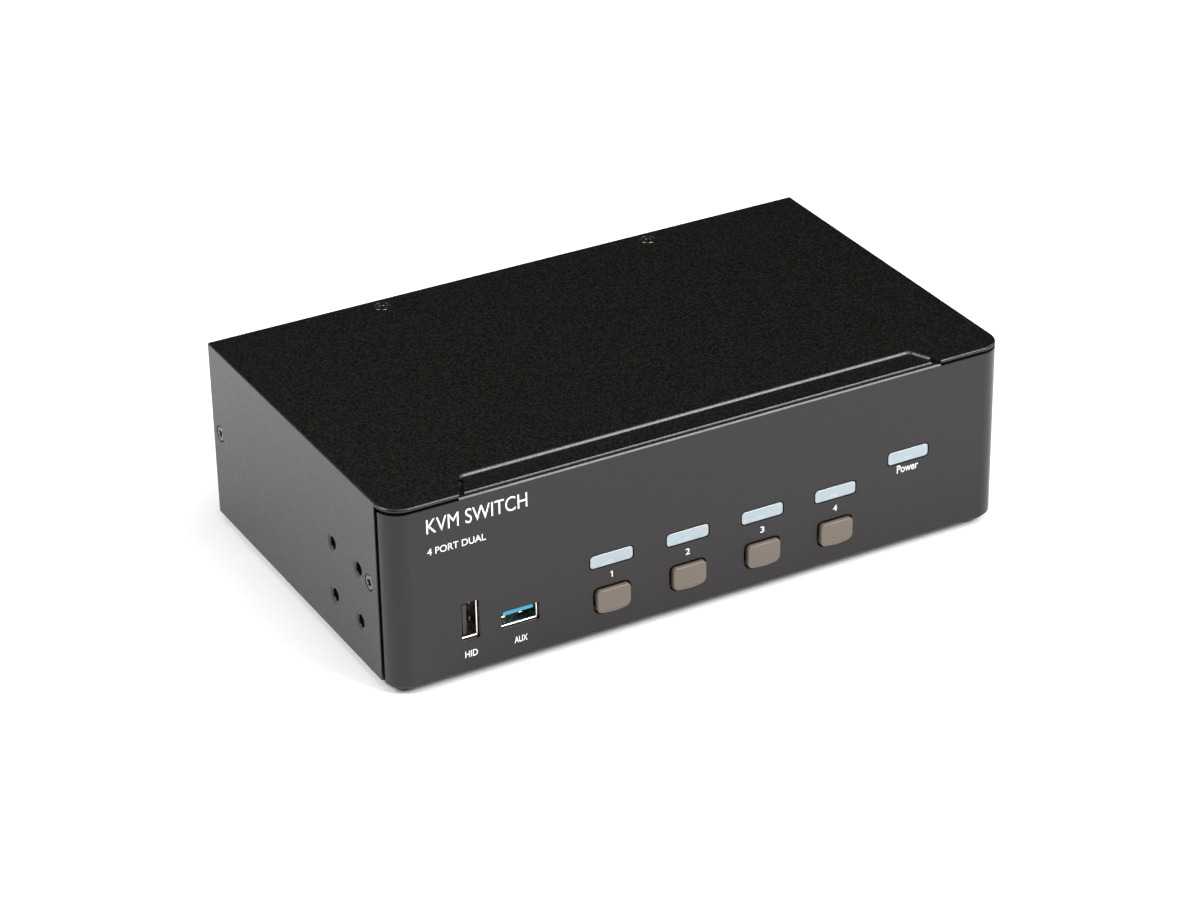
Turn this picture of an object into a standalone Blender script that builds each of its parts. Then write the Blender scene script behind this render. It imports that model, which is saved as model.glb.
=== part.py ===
"""A four-port, dual-display KVM switch in a folded steel case with a moulded front bezel.

Everything is in metres with +Z up. The origin is on the surface the rubber feet stand on,
under the middle of the case: +X is to the right seen from the front and -Y is the front.
"""

import math

import bmesh
import bpy
from mathutils import Matrix, Vector

MM = 0.001
GAP = 0.3 * MM  # left between neighbouring pieces

# Case
WIDTH = 236 * MM
DEPTH = 140 * MM  # bezel face to rear panel
SKIN = 1.1 * MM  # cover sheet
SHEET = 0.8 * MM  # chassis sheet
FOOT_HEIGHT = 2.0 * MM
BASE_DROP = 1.1 * MM  # the chassis floor lies this far below the bezel
DATUM = FOOT_HEIGHT + BASE_DROP  # underside of the bezel and of the side walls
COVER_TOP = DATUM + 66.7 * MM
BEZEL_TOP = DATUM + 65.3 * MM
FRONT = -DEPTH / 2
REAR = DEPTH / 2

# Cover
CORNER_RADIUS = 8.3 * MM  # front corners of the top sheet, seen from above
COVER_OVERHANG = 0.3 * MM
BEND_RADIUS = 1.2 * MM
EDGE_RADIUS = 0.4 * MM
SIDE_WALL_FRONT = FRONT + 6.9 * MM
STEP_DEPTH = 0.9 * MM  # pressed step along the front of the top sheet
STEP_SLOPE = 0.7 * MM
STEP_FRONT_HALF = 91 * MM
STEP_BACK_HALF = 86 * MM
STEP_BACK = FRONT + 10.9 * MM
STEP_EDGE = FRONT + 1.3 * MM

# Bezel
BEZEL_WALL = 2.2 * MM
BEZEL_RADIUS = 8.0 * MM
BEZEL_REAR = FRONT + 5.6 * MM
BEZEL_LIP = 1.0 * MM

# Chassis
CHASSIS_HALF = WIDTH / 2 - SKIN - GAP
CHASSIS_FRONT_WALL = FRONT + 11.4 * MM
CHASSIS_TAB_FRONT = FRONT + 1.4 * MM
CHASSIS_TAB_INNER = 108 * MM
CHASSIS_REAR = REAR - SHEET - GAP
CHASSIS_NOTCH = FRONT + 2.3 * MM  # between the tabs the floor stops behind the bezel's face
FLANGE_HEIGHT = 42 * MM
REAR_PANEL_TOP = 65.2 * MM
REAR_LEDGE = 9.7 * MM

# Fasteners
SCREW_HEAD = 2.75 * MM
SCREW_SHANK = 1.45 * MM
SCREW_LENGTH = 6 * MM
TOP_SCREW_X = 53.8 * MM
TOP_SCREW_Y = REAR - 5.6 * MM
SIDE_SCREWS = {"rear": (REAR - 5.8 * MM, 33.5 * MM), "front": (FRONT + 15.3 * MM, 34.0 * MM)}
BRACKET_Y = (FRONT + 23.5 * MM, FRONT + 43.1 * MM)
BRACKET_Z = (15.1 * MM, 34.9 * MM)
BRACKET_RADIUS = 2.1 * MM

# Controls on the front
CHANNEL_X = [-36.9 * MM, -7.8 * MM, 21.3 * MM, 50.3 * MM]
BUTTON_SIZE = (12.9 * MM, 9.3 * MM)
BUTTON_Z = 11.6 * MM
BUTTON_PROUD = 1.6 * MM
BUTTON_CLEARANCE = 0.65 * MM
BUTTON_TRAVEL = 0.5 * MM
WINDOW_SIZE = (16.1 * MM, 4.6 * MM)
WINDOW_Z = 27.0 * MM
WINDOW_PROUD = 0.15 * MM
WINDOW_CLEARANCE = 0.3 * MM
POWER_WINDOW = (79.6 * MM, 33.5 * MM)
FLANGE_THICK = 0.8 * MM
FLANGE_REACH = 1.2 * MM

# Sockets on the front
SOCKET_SIZE = (13.7 * MM, 6.15 * MM)
SOCKET_WALL = 0.4 * MM
SOCKET_DEPTH = 13.1 * MM
SOCKET_SET_BACK = 1.2 * MM
SOCKET_CUT = 0.25 * MM
TONGUE_SIZE = (11.2 * MM, 1.85 * MM)
TONGUE_OFFSET = 1.25 * MM
HID_PORT = (-89.5 * MM, 18.8 * MM)
USB_PORT = (-71.25 * MM, 15.1 * MM)

# Boards
BOARD = 1.6 * MM
MAIN_BOARD_Z = 6.0 * MM
VIDEO_BOARD_Z = 33.0 * MM
FRONT_BOARD_Y = FRONT + 8.8 * MM
STANDOFFS = [(-106 * MM, -48 * MM), (106 * MM, -48 * MM), (-106 * MM, 56 * MM), (106 * MM, 50 * MM)]
TALL_STANDOFFS = [(-96 * MM, -36 * MM), (96 * MM, -36 * MM), (-96 * MM, 30 * MM), (96 * MM, 30 * MM)]

# Rear connectors, five groups: the console and then computers 1 to 4
GROUP_X = [-92 * MM, -50 * MM, -8 * MM, 34 * MM, 76 * MM]
VIDEO_PITCH = 18.5 * MM
VIDEO_SIZE = (15.0 * MM, 6.2 * MM)
VIDEO_Z = VIDEO_BOARD_Z + BOARD + GAP + VIDEO_SIZE[1] / 2
PORT_B_SIZE = (12.0 * MM, 11.0 * MM)
PORT_B_OFFSET = -11.5 * MM
AUDIO_OFFSET = 7.5 * MM
AUDIO_PITCH = 10 * MM
AUDIO_BLOCK = (20 * MM, 10 * MM)
AUDIO_RADIUS = (3.0 * MM, 1.8 * MM)
STACK_SIZE = (14.6 * MM, 15.8 * MM)
POWER_JACK_X = 105.5 * MM
POWER_JACK_SIZE = (9.6 * MM, 11.4 * MM)
REAR_PROUD = 1.6 * MM
SLOT_SIZE = (2.4 * MM, 9 * MM)
SLOT_PITCH = 8 * MM
SLOT_COUNT = 24
SLOT_Z = 53.5 * MM

MATERIALS = {
    "black_paint": ((0.010, 0.010, 0.010), 0.55, 0.2),
    "bezel_plastic": ((0.055, 0.053, 0.054), 0.45, 0.0),
    "chassis_paint": ((0.012, 0.012, 0.012), 0.55, 0.2),
    "black_screw": ((0.030, 0.030, 0.030), 0.40, 0.6),
    "foot_rubber": ((0.015, 0.015, 0.015), 0.85, 0.0),
    "button_plastic": ((0.26, 0.22, 0.18), 0.50, 0.0),
    "window_plastic": ((0.62, 0.72, 0.79), 0.25, 0.0),
    "port_metal": ((0.70, 0.70, 0.70), 0.22, 1.0),
    "blue_plastic": ((0.03, 0.30, 0.62), 0.40, 0.0),
    "black_plastic": ((0.012, 0.012, 0.012), 0.45, 0.0),
    "board_green": ((0.02, 0.14, 0.06), 0.45, 0.0),
}


# --- helpers ---------------------------------------------------------------------------


def material(name):
    colour, roughness, metallic = MATERIALS[name]
    found = bpy.data.materials.get(name)
    if found:
        return found
    made = bpy.data.materials.new(name)
    made.use_nodes = True
    shader = made.node_tree.nodes["Principled BSDF"]
    shader.inputs["Base Color"].default_value = (*colour, 1)
    shader.inputs["Roughness"].default_value = roughness
    shader.inputs["Metallic"].default_value = metallic
    return made


def at_x(outline, x):
    return [Vector((x, u, v)) for u, v in outline]


def at_y(outline, y):
    return [Vector((u, y, v)) for u, v in outline]


def at_z(outline, z):
    return [Vector((u, v, z)) for u, v in outline]


def box_outline(u, v, width, height):
    """A rectangle of four points around (u, v)."""
    half_w, half_h = width / 2, height / 2
    return [(u - half_w, v - half_h), (u + half_w, v - half_h), (u + half_w, v + half_h), (u - half_w, v + half_h)]


def circle(u, v, radius, steps=16, first=0):
    """Points round a circle; first is the step to begin at, to line up with another outline."""
    angles = [2 * math.pi * (i + first + 0.5) / steps for i in range(steps)]
    return [(u + radius * math.cos(a), v + radius * math.sin(a)) for a in angles]


def arc(u, v, radius_u, radius_v, start, end, steps=8):
    """Points along an arc, angles in degrees."""
    angles = [math.radians(start + (end - start) * i / steps) for i in range(steps + 1)]
    return [(u + radius_u * math.cos(a), v + radius_v * math.sin(a)) for a in angles]


def rounded(corners, steps=4):
    """An outline whose corners, given as (u, v, radius), are replaced by arcs."""
    outline = []
    for i, (u, v, radius) in enumerate(corners):
        here = Vector((u, v))
        back = (Vector(corners[i - 1][:2]) - here).normalized()
        ahead = (Vector(corners[(i + 1) % len(corners)][:2]) - here).normalized()
        half = back.angle(ahead) / 2
        centre = here + (back + ahead).normalized() * radius / math.sin(half)
        spoke = here + back * radius / math.tan(half) - centre
        turn = math.copysign(math.pi - 2 * half, -back.cross(ahead))
        for k in range(steps + 1):
            outline.append(tuple(centre + Matrix.Rotation(turn * k / steps, 2) @ spoke))
    return outline


def rounded_box(u, v, width, height, radius, steps=3):
    return rounded([(a, b, radius) for a, b in box_outline(u, v, width, height)], steps)


def grown(outline, amount):
    """The same outline moved outward by amount, or inward where it is negative."""
    area = sum(a[0] * b[1] - b[0] * a[1] for a, b in zip(outline, outline[1:] + outline[:1]))
    side = amount if area > 0 else -amount
    moved = []
    for i, point in enumerate(outline):
        here = Vector(point)
        back = (here - Vector(outline[i - 1])).normalized()
        ahead = (Vector(outline[(i + 1) % len(outline)]) - here).normalized()
        normal = (Vector((back.y, -back.x)) + Vector((ahead.y, -ahead.x))).normalized()
        stretch = 1 / max(0.3, normal.dot(Vector((ahead.y, -ahead.x))))
        moved.append(tuple(here + normal * side * stretch))
    return moved


def skin(rings):
    """A closed mesh over a stack of rings, facing outward."""
    bm = bmesh.new()
    loops = [[bm.verts.new(point) for point in ring] for ring in rings]
    for near, far in zip(loops, loops[1:]):
        for i in range(len(near)):
            j = (i + 1) % len(near)
            bm.faces.new((near[i], near[j], far[j], far[i]))
    bm.faces.new(list(reversed(loops[0])))
    bm.faces.new(loops[-1])
    if bm.calc_volume(signed=True) < 0:
        bmesh.ops.reverse_faces(bm, faces=bm.faces)
    mesh = bpy.data.meshes.new("skin")
    bm.to_mesh(mesh)
    bm.free()
    return mesh


def solid(name, bodies, material_name=None):
    """An object of one or more lofts; each loft is a list of rings with equal point counts."""
    bm = bmesh.new()
    for rings in bodies:
        mesh = skin(rings)
        bm.from_mesh(mesh)
        bpy.data.meshes.remove(mesh)
    mesh = bpy.data.meshes.new(name)
    bm.to_mesh(mesh)
    bm.free()
    made = bpy.data.objects.new(name, mesh)
    bpy.context.scene.collection.objects.link(made)
    if material_name:
        mesh.materials.append(material(material_name))
        mesh.shade_smooth()
        mesh.set_sharp_from_angle(angle=math.radians(30))
    return made


def combine(target, name, bodies, operation="DIFFERENCE"):
    """Cut the lofts out of target, or join them to it."""
    tool = solid(name, bodies)
    tool.hide_render = True
    tool.display_type = "WIRE"
    modifier = target.modifiers.new(name, "BOOLEAN")
    modifier.operation = operation
    modifier.solver = "EXACT"
    modifier.object = tool
    return tool


def block(low, high):
    """A loft for the box between two corners."""
    outline = [(low[0], low[1]), (high[0], low[1]), (high[0], high[1]), (low[0], high[1])]
    return [at_z(outline, low[2]), at_z(outline, high[2])]


def up(height):
    """Height above the underside of the bezel, as a world Z."""
    return DATUM + height


# --- top cover -------------------------------------------------------------------------


def cover_outline(inset_side, inset_front):
    """Plan of the top sheet, with its two front corners round."""
    half = WIDTH / 2 - inset_side
    front = FRONT - COVER_OVERHANG
    radius_u = CORNER_RADIUS - inset_side
    radius_v = CORNER_RADIUS - inset_front
    centre_u = WIDTH / 2 - CORNER_RADIUS
    centre_v = front + CORNER_RADIUS
    rear = REAR - inset_front * 0.6
    outline = [(half, rear), (-half, rear)]
    outline += arc(-centre_u, centre_v, radius_u, radius_v, 180, 270)
    outline += arc(centre_u, centre_v, radius_u, radius_v, 270, 360)
    return outline


def step_outline(grow, reach):
    """Plan of the pressed step: it flares towards the front and has round back corners."""
    back = STEP_BACK + grow
    front_half = STEP_FRONT_HALF + grow
    back_half = STEP_BACK_HALF + grow
    lean = (front_half - back_half) / (back - FRONT)
    wide = front_half + lean * (FRONT - reach)
    corners = [(-wide, reach, 0.05 * MM), (wide, reach, 0.05 * MM)]
    corners += [(back_half, back, 2.5 * MM), (-back_half, back, 2.5 * MM)]
    return rounded(corners)


def make_top_cover():
    bends = [(1 - math.cos(a), 1 - math.sin(a)) for a in (0, math.pi / 6, math.pi / 3, math.pi / 2)]
    rings = [at_z(cover_outline(0, 0), up(0))]
    for inward, drop in bends:
        outline = cover_outline(BEND_RADIUS * inward, EDGE_RADIUS * inward)
        rings.append(at_z(outline, COVER_TOP - BEND_RADIUS * drop))
    cover = solid("top_cover", [rings], "black_paint")

    inner = WIDTH / 2 - SKIN
    wide = WIDTH / 2 + 10 * MM
    tee = [(-wide, FRONT - 9 * MM), (wide, FRONT - 9 * MM), (wide, SIDE_WALL_FRONT), (inner, SIDE_WALL_FRONT)]
    tee += [(inner, REAR + 9 * MM), (-inner, REAR + 9 * MM), (-inner, SIDE_WALL_FRONT), (-wide, SIDE_WALL_FRONT)]
    combine(cover, "cover_void", [[at_z(tee, up(-9 * MM)), at_z(tee, COVER_TOP - SKIN)]])

    under = COVER_TOP - STEP_DEPTH - SKIN
    slab = [at_z(step_outline(0.5 * MM, STEP_EDGE - 1 * MM), under)]
    slab.append(at_z(step_outline(STEP_SLOPE + 0.9 * MM, STEP_EDGE - 1 * MM), COVER_TOP - 0.5 * SKIN))
    combine(cover, "step_slab", [slab], "UNION")
    floor = COVER_TOP - STEP_DEPTH
    lift = 1 * MM
    recess = [at_z(step_outline(0, FRONT - 9 * MM), floor)]
    recess.append(at_z(step_outline(STEP_SLOPE, FRONT - 9 * MM), COVER_TOP))
    recess.append(at_z(step_outline(STEP_SLOPE, FRONT - 9 * MM), COVER_TOP + lift))
    combine(cover, "step_recess", [recess])
    nose = block((-STEP_FRONT_HALF - STEP_SLOPE, FRONT - 9 * MM, under - lift),
                 (STEP_FRONT_HALF + STEP_SLOPE, STEP_EDGE, COVER_TOP + lift))
    combine(cover, "step_nose", [nose])

    combine(cover, "cover_holes", cover_holes())
    return cover


def countersink(place, mouth, throat):
    """A cutter from outside the sheet inward; place maps (outline, depth) to points."""
    radii = [(-1 * MM, mouth + 1 * MM), (SKIN + 0.05 * MM, throat), (SKIN + 2 * MM, throat)]
    return [place(radius, depth) for depth, radius in radii]


def from_top(u, v, steps=16):
    return lambda radius, depth: at_z(circle(u, v, radius, steps), COVER_TOP - depth)


def from_side(side, y, z, steps=16):
    return lambda radius, depth: at_x(circle(y, up(z), radius, steps), side * (WIDTH / 2 - depth))


def cover_holes():
    holes = [countersink(from_top(side * TOP_SCREW_X, TOP_SCREW_Y), 3.1 * MM, 1.85 * MM) for side in (-1, 1)]
    for side in (-1, 1):
        for y, z in SIDE_SCREWS.values():
            holes.append(countersink(from_side(side, y, z), 3.1 * MM, 1.85 * MM))
        for y in BRACKET_Y:
            for z in BRACKET_Z:
                holes.append(countersink(from_side(side, y, z), 3.4 * MM, 2.3 * MM))
    return holes


# --- bezel -----------------------------------------------------------------------------


def bezel_outline(inset):
    """Plan of the bezel: a front wall whose ends turn back round the corners."""
    centre_u = WIDTH / 2 - BEZEL_RADIUS
    centre_v = FRONT + BEZEL_RADIUS
    outer = BEZEL_RADIUS - inset
    inner = BEZEL_RADIUS - BEZEL_WALL
    outer_start = math.degrees(math.asin((centre_v - BEZEL_REAR) / outer))
    inner_start = math.degrees(math.asin((centre_v - BEZEL_REAR) / inner))
    outline = arc(-centre_u, centre_v, outer, outer, 180 + outer_start, 270)
    outline += arc(centre_u, centre_v, outer, outer, 270, 360 - outer_start)
    outline += arc(centre_u, centre_v, inner, inner, 360 - inner_start, 270, 6)
    outline += arc(-centre_u, centre_v, inner, inner, 270, 180 + inner_start, 6)
    return outline


def button_outline(x, z, grow=0.0):
    """Square shoulders at the top, rounder ones below and a bowed lower edge."""
    half_w, half_h = BUTTON_SIZE[0] / 2, BUTTON_SIZE[1] / 2
    low = -half_h + 0.7 * MM
    corners = [(x - half_w, z + low, 2.6 * MM), (x, z - half_h, 16 * MM), (x + half_w, z + low, 2.6 * MM)]
    corners += [(x + half_w, z + half_h, 1.6 * MM), (x - half_w, z + half_h, 1.6 * MM)]
    return grown(rounded(corners), grow)


def window_outline(x, z, grow=0.0):
    return grown(rounded_box(x, z, *WINDOW_SIZE, 1.1 * MM), grow)


def window_places():
    places = {f"indicator_{i + 1}": (x, up(WINDOW_Z)) for i, x in enumerate(CHANNEL_X)}
    places["power_indicator"] = (POWER_WINDOW[0], up(POWER_WINDOW[1]))
    return places


def through_bezel(outline):
    return [at_y(outline, FRONT - 1 * MM), at_y(outline, FRONT + BEZEL_WALL + 1 * MM)]


def socket_outline(place, upright, grow=0.0):
    width, height = SOCKET_SIZE
    if upright:
        width, height = height, width
    return rounded_box(place[0], up(place[1]), width + 2 * grow, height + 2 * grow, 0.5 * MM, 2)


def make_front_bezel():
    edge = EDGE_RADIUS
    levels = [(0, edge), (edge, 0), (BEZEL_TOP - DATUM - edge, 0), (BEZEL_TOP - DATUM, edge)]
    bezel = solid("front_bezel", [[at_z(bezel_outline(inset), up(z)) for z, inset in levels]], "bezel_plastic")
    cuts = [through_bezel(button_outline(x, up(BUTTON_Z), BUTTON_CLEARANCE)) for x in CHANNEL_X]
    cuts += [through_bezel(window_outline(x, z, WINDOW_CLEARANCE)) for x, z in window_places().values()]
    cuts.append(through_bezel(socket_outline(HID_PORT, True, SOCKET_CUT)))
    cuts.append(through_bezel(socket_outline(USB_PORT, False, SOCKET_CUT)))
    combine(bezel, "bezel_openings", cuts)
    half = STEP_FRONT_HALF + 3 * MM
    under = COVER_TOP - STEP_DEPTH - SKIN - GAP
    rebate = block((-half, FRONT + BEZEL_LIP, under), (half, BEZEL_REAR + 9 * MM, COVER_TOP))
    combine(bezel, "bezel_rebate", [rebate])
    return bezel


# --- chassis ---------------------------------------------------------------------------


def floor_outline():
    """Plan of the chassis: straight at the back, two round tabs under the bezel's corners."""
    half = CHASSIS_HALF
    radius = BEZEL_RADIUS - (CHASSIS_TAB_FRONT - FRONT)
    outline = [(half, CHASSIS_REAR), (-half, CHASSIS_REAR)]
    outline += arc(-half + radius, CHASSIS_TAB_FRONT + radius, radius, radius, 180, 270, 6)
    outline += [(-CHASSIS_TAB_INNER, CHASSIS_TAB_FRONT), (-CHASSIS_TAB_INNER + 1 * MM, CHASSIS_NOTCH)]
    outline += [(CHASSIS_TAB_INNER - 1 * MM, CHASSIS_NOTCH), (CHASSIS_TAB_INNER, CHASSIS_TAB_FRONT)]
    outline += arc(half - radius, CHASSIS_TAB_FRONT + radius, radius, radius, 270, 360, 6)
    return outline


def make_base_chassis():
    """A tray: floor, front wall and two low side flanges."""
    floor_top = FOOT_HEIGHT + SHEET
    outline = floor_outline()
    top = up(FLANGE_HEIGHT)
    chassis = solid("base_chassis", [[at_z(outline, FOOT_HEIGHT), at_z(outline, top)]], "chassis_paint")

    wide = WIDTH / 2 + 10 * MM
    ahead = [(FRONT - 9 * MM, floor_top), (CHASSIS_FRONT_WALL, floor_top)]
    ahead += [(CHASSIS_FRONT_WALL, top + 9 * MM), (FRONT - 9 * MM, top + 9 * MM)]
    combine(chassis, "chassis_nose", [[at_x(ahead, -wide), at_x(ahead, wide)]])

    inner = CHASSIS_HALF - SHEET
    void = block((-inner, CHASSIS_FRONT_WALL + SHEET, floor_top), (inner, REAR + 9 * MM, top + 9 * MM))
    combine(chassis, "chassis_void", [void])
    combine(chassis, "chassis_posts", chassis_posts(), "UNION")
    combine(chassis, "chassis_holes", chassis_holes())
    return chassis


def make_rear_panel():
    """A sheet across the back, folded forward at the top into a ledge for the cover's screws."""
    top, ledge = up(REAR_PANEL_TOP), REAR - REAR_LEDGE
    profile = [(REAR, FOOT_HEIGHT), (REAR, top), (ledge, top), (ledge, top - SHEET)]
    profile += [(REAR - SHEET, top - SHEET), (REAR - SHEET, FOOT_HEIGHT)]
    panel = solid("rear_panel", [[at_x(profile, -CHASSIS_HALF), at_x(profile, CHASSIS_HALF)]], "chassis_paint")
    screw_holes = []
    for side in (-1, 1):
        plan = circle(side * TOP_SCREW_X, TOP_SCREW_Y, 1.8 * MM, 12)
        screw_holes.append([at_z(plan, top - 2 * MM), at_z(plan, top + 2 * MM)])
    combine(panel, "rear_screw_holes", screw_holes)
    combine(panel, "rear_openings", rear_openings())
    return panel


def chassis_posts():
    """Pressed-in standoffs on the floor, and threaded inserts behind the bracket holes."""
    posts = []
    for places, top in ((STANDOFFS, MAIN_BOARD_Z - GAP), (TALL_STANDOFFS, VIDEO_BOARD_Z - GAP)):
        for x, y in places:
            posts.append([at_z(circle(x, y, 3 * MM, 12), z) for z in (FOOT_HEIGHT + SHEET / 2, up(top))])
    for side in (-1, 1):
        for y in BRACKET_Y:
            for z in BRACKET_Z:
                ends = [side * (CHASSIS_HALF - depth) for depth in (SHEET / 2, 3.2 * MM)]
                posts.append([at_x(circle(y, up(z), 3.3 * MM, 12), x) for x in ends])
    return posts


def chassis_holes():
    holes = []
    front_window = block((-100 * MM, CHASSIS_FRONT_WALL - 1 * MM, up(4 * MM)),
                         (95 * MM, CHASSIS_FRONT_WALL + SHEET + 1 * MM, up(39 * MM)))
    holes.append(front_window)
    for side in (-1, 1):
        near, far = side * (CHASSIS_HALF - 5 * MM), side * (CHASSIS_HALF + 2 * MM)
        for y, z in SIDE_SCREWS.values():
            holes.append([at_x(circle(y, up(z), 1.8 * MM, 12), x) for x in (near, far)])
        for y in BRACKET_Y:
            for z in BRACKET_Z:
                holes.append([at_x(circle(y, up(z), BRACKET_RADIUS, 12), x) for x in (near, far)])
    return holes


# --- rear connectors -------------------------------------------------------------------


def video_outline(x, z, grow=0.0):
    """A flat port with its two lower corners cut back."""
    half_w, half_h = VIDEO_SIZE[0] / 2, VIDEO_SIZE[1] / 2
    points = [(-half_w, half_h), (-half_w, -0.2 * half_h), (-0.76 * half_w, -half_h)]
    points += [(0.76 * half_w, -half_h), (half_w, -0.2 * half_h), (half_w, half_h)]
    return grown([(x + u, z + v) for u, v in points], grow)


def port_b_outline(x, z, grow=0.0):
    """A squarish port with its two upper corners cut back."""
    half_w, half_h = PORT_B_SIZE[0] / 2, PORT_B_SIZE[1] / 2
    points = [(-half_w, -half_h), (half_w, -half_h), (half_w, 0.6 * half_h)]
    points += [(0.7 * half_w, half_h), (-0.7 * half_w, half_h), (-half_w, 0.6 * half_h)]
    return grown([(x + u, z + v) for u, v in points], grow)


def shrunk_to(outline, x, z, width, height):
    """The outline squeezed about (x, z) into a width and a height, keeping its point count."""
    span_u = max(u for u, _ in outline) - min(u for u, _ in outline)
    span_v = max(v for _, v in outline) - min(v for _, v in outline)
    return [(x + (u - x) * width / span_u, z + (v - z) * height / span_v) for u, v in outline]


def on_main_board(height):
    return up(MAIN_BOARD_Z) + BOARD + GAP + height / 2


def video_places():
    return [(x + side * VIDEO_PITCH / 2, up(VIDEO_Z)) for x in GROUP_X for side in (-1, 1)]


def port_b_places():
    return [(x + PORT_B_OFFSET, on_main_board(PORT_B_SIZE[1])) for x in GROUP_X[1:]]


def audio_places():
    return [(x + AUDIO_OFFSET, on_main_board(AUDIO_BLOCK[1])) for x in GROUP_X]


def stack_place():
    return GROUP_X[0] + PORT_B_OFFSET, on_main_board(STACK_SIZE[1])


def power_place():
    return POWER_JACK_X, on_main_board(POWER_JACK_SIZE[1])


def barrels(x, z, radius, y_from, y_to, steps=16):
    sides = (-AUDIO_PITCH / 2, AUDIO_PITCH / 2)
    return [[at_y(circle(x + side, z, radius, steps), y) for y in (y_from, y_to)] for side in sides]


def rear_openings():
    """Cut-outs for every connector, and a row of cooling slots above them."""
    y_from, y_to = REAR - SHEET - 1 * MM, REAR + 1 * MM
    outlines = [video_outline(x, z, GAP) for x, z in video_places()]
    outlines += [port_b_outline(x, z, GAP) for x, z in port_b_places()]
    outlines.append(grown(box_outline(*stack_place(), *STACK_SIZE), GAP))
    outlines.append(grown(box_outline(*power_place(), *POWER_JACK_SIZE), GAP))
    for i in range(SLOT_COUNT):
        x = (i - (SLOT_COUNT - 1) / 2) * SLOT_PITCH
        outlines.append(rounded_box(x, up(SLOT_Z), *SLOT_SIZE, 0.49 * SLOT_SIZE[0], 2))
    cuts = [[at_y(outline, y) for y in (y_from, y_to)] for outline in outlines]
    for x, z in audio_places():
        cuts += barrels(x, z, AUDIO_RADIUS[0] + GAP, y_from, y_to, 12)
    return cuts


def port(name, outer, inner, tongue, depth, proud, tongue_back=1.5 * MM):
    """A connector facing backward: a cup with a tongue standing on its floor."""
    mouth = REAR + proud
    floor = mouth - depth + 3 * MM
    rings = [at_y(outer, mouth - depth), at_y(outer, mouth), at_y(inner, mouth), at_y(inner, floor)]
    rings += [at_y(tongue, floor), at_y(tongue, mouth - tongue_back)]
    return solid(name, [rings], "port_metal")


def make_video_ports():
    for number, (x, z) in enumerate(video_places(), 1):
        outer = video_outline(x, z)
        inner = video_outline(x, z, -0.5 * MM)
        tongue = shrunk_to(outer, x, z, 11.2 * MM, 1.9 * MM)
        port(f"video_port_{number}", outer, inner, tongue, 12 * MM, 0.6 * MM)


def make_port_bs():
    for number, (x, z) in enumerate(port_b_places(), 1):
        outer = port_b_outline(x, z)
        inner = port_b_outline(x, z, -1.5 * MM)
        tongue = shrunk_to(outer, x, z, 5.6 * MM, 3.2 * MM)
        port(f"computer_port_{number}", outer, inner, tongue, 16 * MM, 0.6 * MM)


def make_audio_jacks():
    for number, (x, z) in enumerate(audio_places(), 1):
        back = REAR - SHEET - GAP
        body = [at_y(box_outline(x, z, *AUDIO_BLOCK), y) for y in (back - 12 * MM, back)]
        jack = solid(f"audio_jacks_{number}", [body], "black_plastic")
        tips = barrels(x, z, AUDIO_RADIUS[0], back - 2 * MM, REAR + REAR_PROUD)
        combine(jack, f"audio_barrels_{number}", tips, "UNION")
        bores = barrels(x, z, AUDIO_RADIUS[1], back - 10 * MM, REAR + REAR_PROUD + 1 * MM, 12)
        combine(jack, f"audio_bores_{number}", bores)


def socket_void(mouth_outline, tongue_outline, mouth, floor, tongue_end):
    """A cutter that leaves a tongue standing in a socket."""
    return [at_y(mouth_outline, mouth), at_y(mouth_outline, floor), at_y(tongue_outline, floor),
            at_y(tongue_outline, tongue_end)]


def make_console_ports():
    """Two flat ports, one above the other, in one shell."""
    x, z = stack_place()
    body = [at_y(box_outline(x, z, *STACK_SIZE), y) for y in (REAR - 15 * MM, REAR + 0.6 * MM)]
    stack = solid("console_ports", [body], "port_metal")
    voids = []
    for level in (-1, 1):
        centre = z + level * 3.9 * MM
        mouth = box_outline(x, centre, 12.6 * MM, 5.1 * MM)
        tongue = box_outline(x, centre + TONGUE_OFFSET, *TONGUE_SIZE)
        voids.append(socket_void(mouth, tongue, REAR + 2 * MM, REAR - 11 * MM, REAR - 1 * MM))
    combine(stack, "console_voids", voids)


def make_power_jack():
    x, z = power_place()
    body = [at_y(box_outline(x, z, *POWER_JACK_SIZE), y) for y in (REAR - 13 * MM, REAR + 0.6 * MM)]
    jack = solid("power_jack", [body], "black_plastic")
    bore, pin = circle(x, z, 3.2 * MM), circle(x, z, 1.0 * MM)
    combine(jack, "power_bore", [socket_void(bore, pin, REAR + 2 * MM, REAR - 10 * MM, REAR - 1 * MM)])


# --- front sockets ---------------------------------------------------------------------


def make_front_socket(name, place, upright, tongue_material):
    """A steel shell behind the bezel, and the plastic block and tongue that it holds."""
    mouth = FRONT + SOCKET_SET_BACK
    outer = socket_outline(place, upright)
    inner = socket_outline(place, upright, -SOCKET_WALL)
    floor = mouth + SOCKET_DEPTH - SOCKET_WALL
    rings = [at_y(outer, mouth + SOCKET_DEPTH), at_y(outer, mouth), at_y(inner, mouth), at_y(inner, floor)]
    solid(f"{name}_shell", [rings], "port_metal")

    x, z = place[0], up(place[1])
    width, height = TONGUE_SIZE
    if upright:
        tongue = box_outline(x - TONGUE_OFFSET, z, height, width)
    else:
        tongue = box_outline(x, z + TONGUE_OFFSET, width, height)
    lean = SOCKET_WALL + GAP
    size = [side - 2 * lean for side in SOCKET_SIZE]
    plug = box_outline(x, z, *(reversed(size) if upright else size))
    step = mouth + SOCKET_DEPTH - 4 * MM
    rings = [at_y(plug, floor - GAP), at_y(plug, step), at_y(tongue, step), at_y(tongue, mouth + 0.6 * MM)]
    solid(f"{name}_tongue", [rings], tongue_material)


# --- buttons and lights ----------------------------------------------------------------


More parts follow.
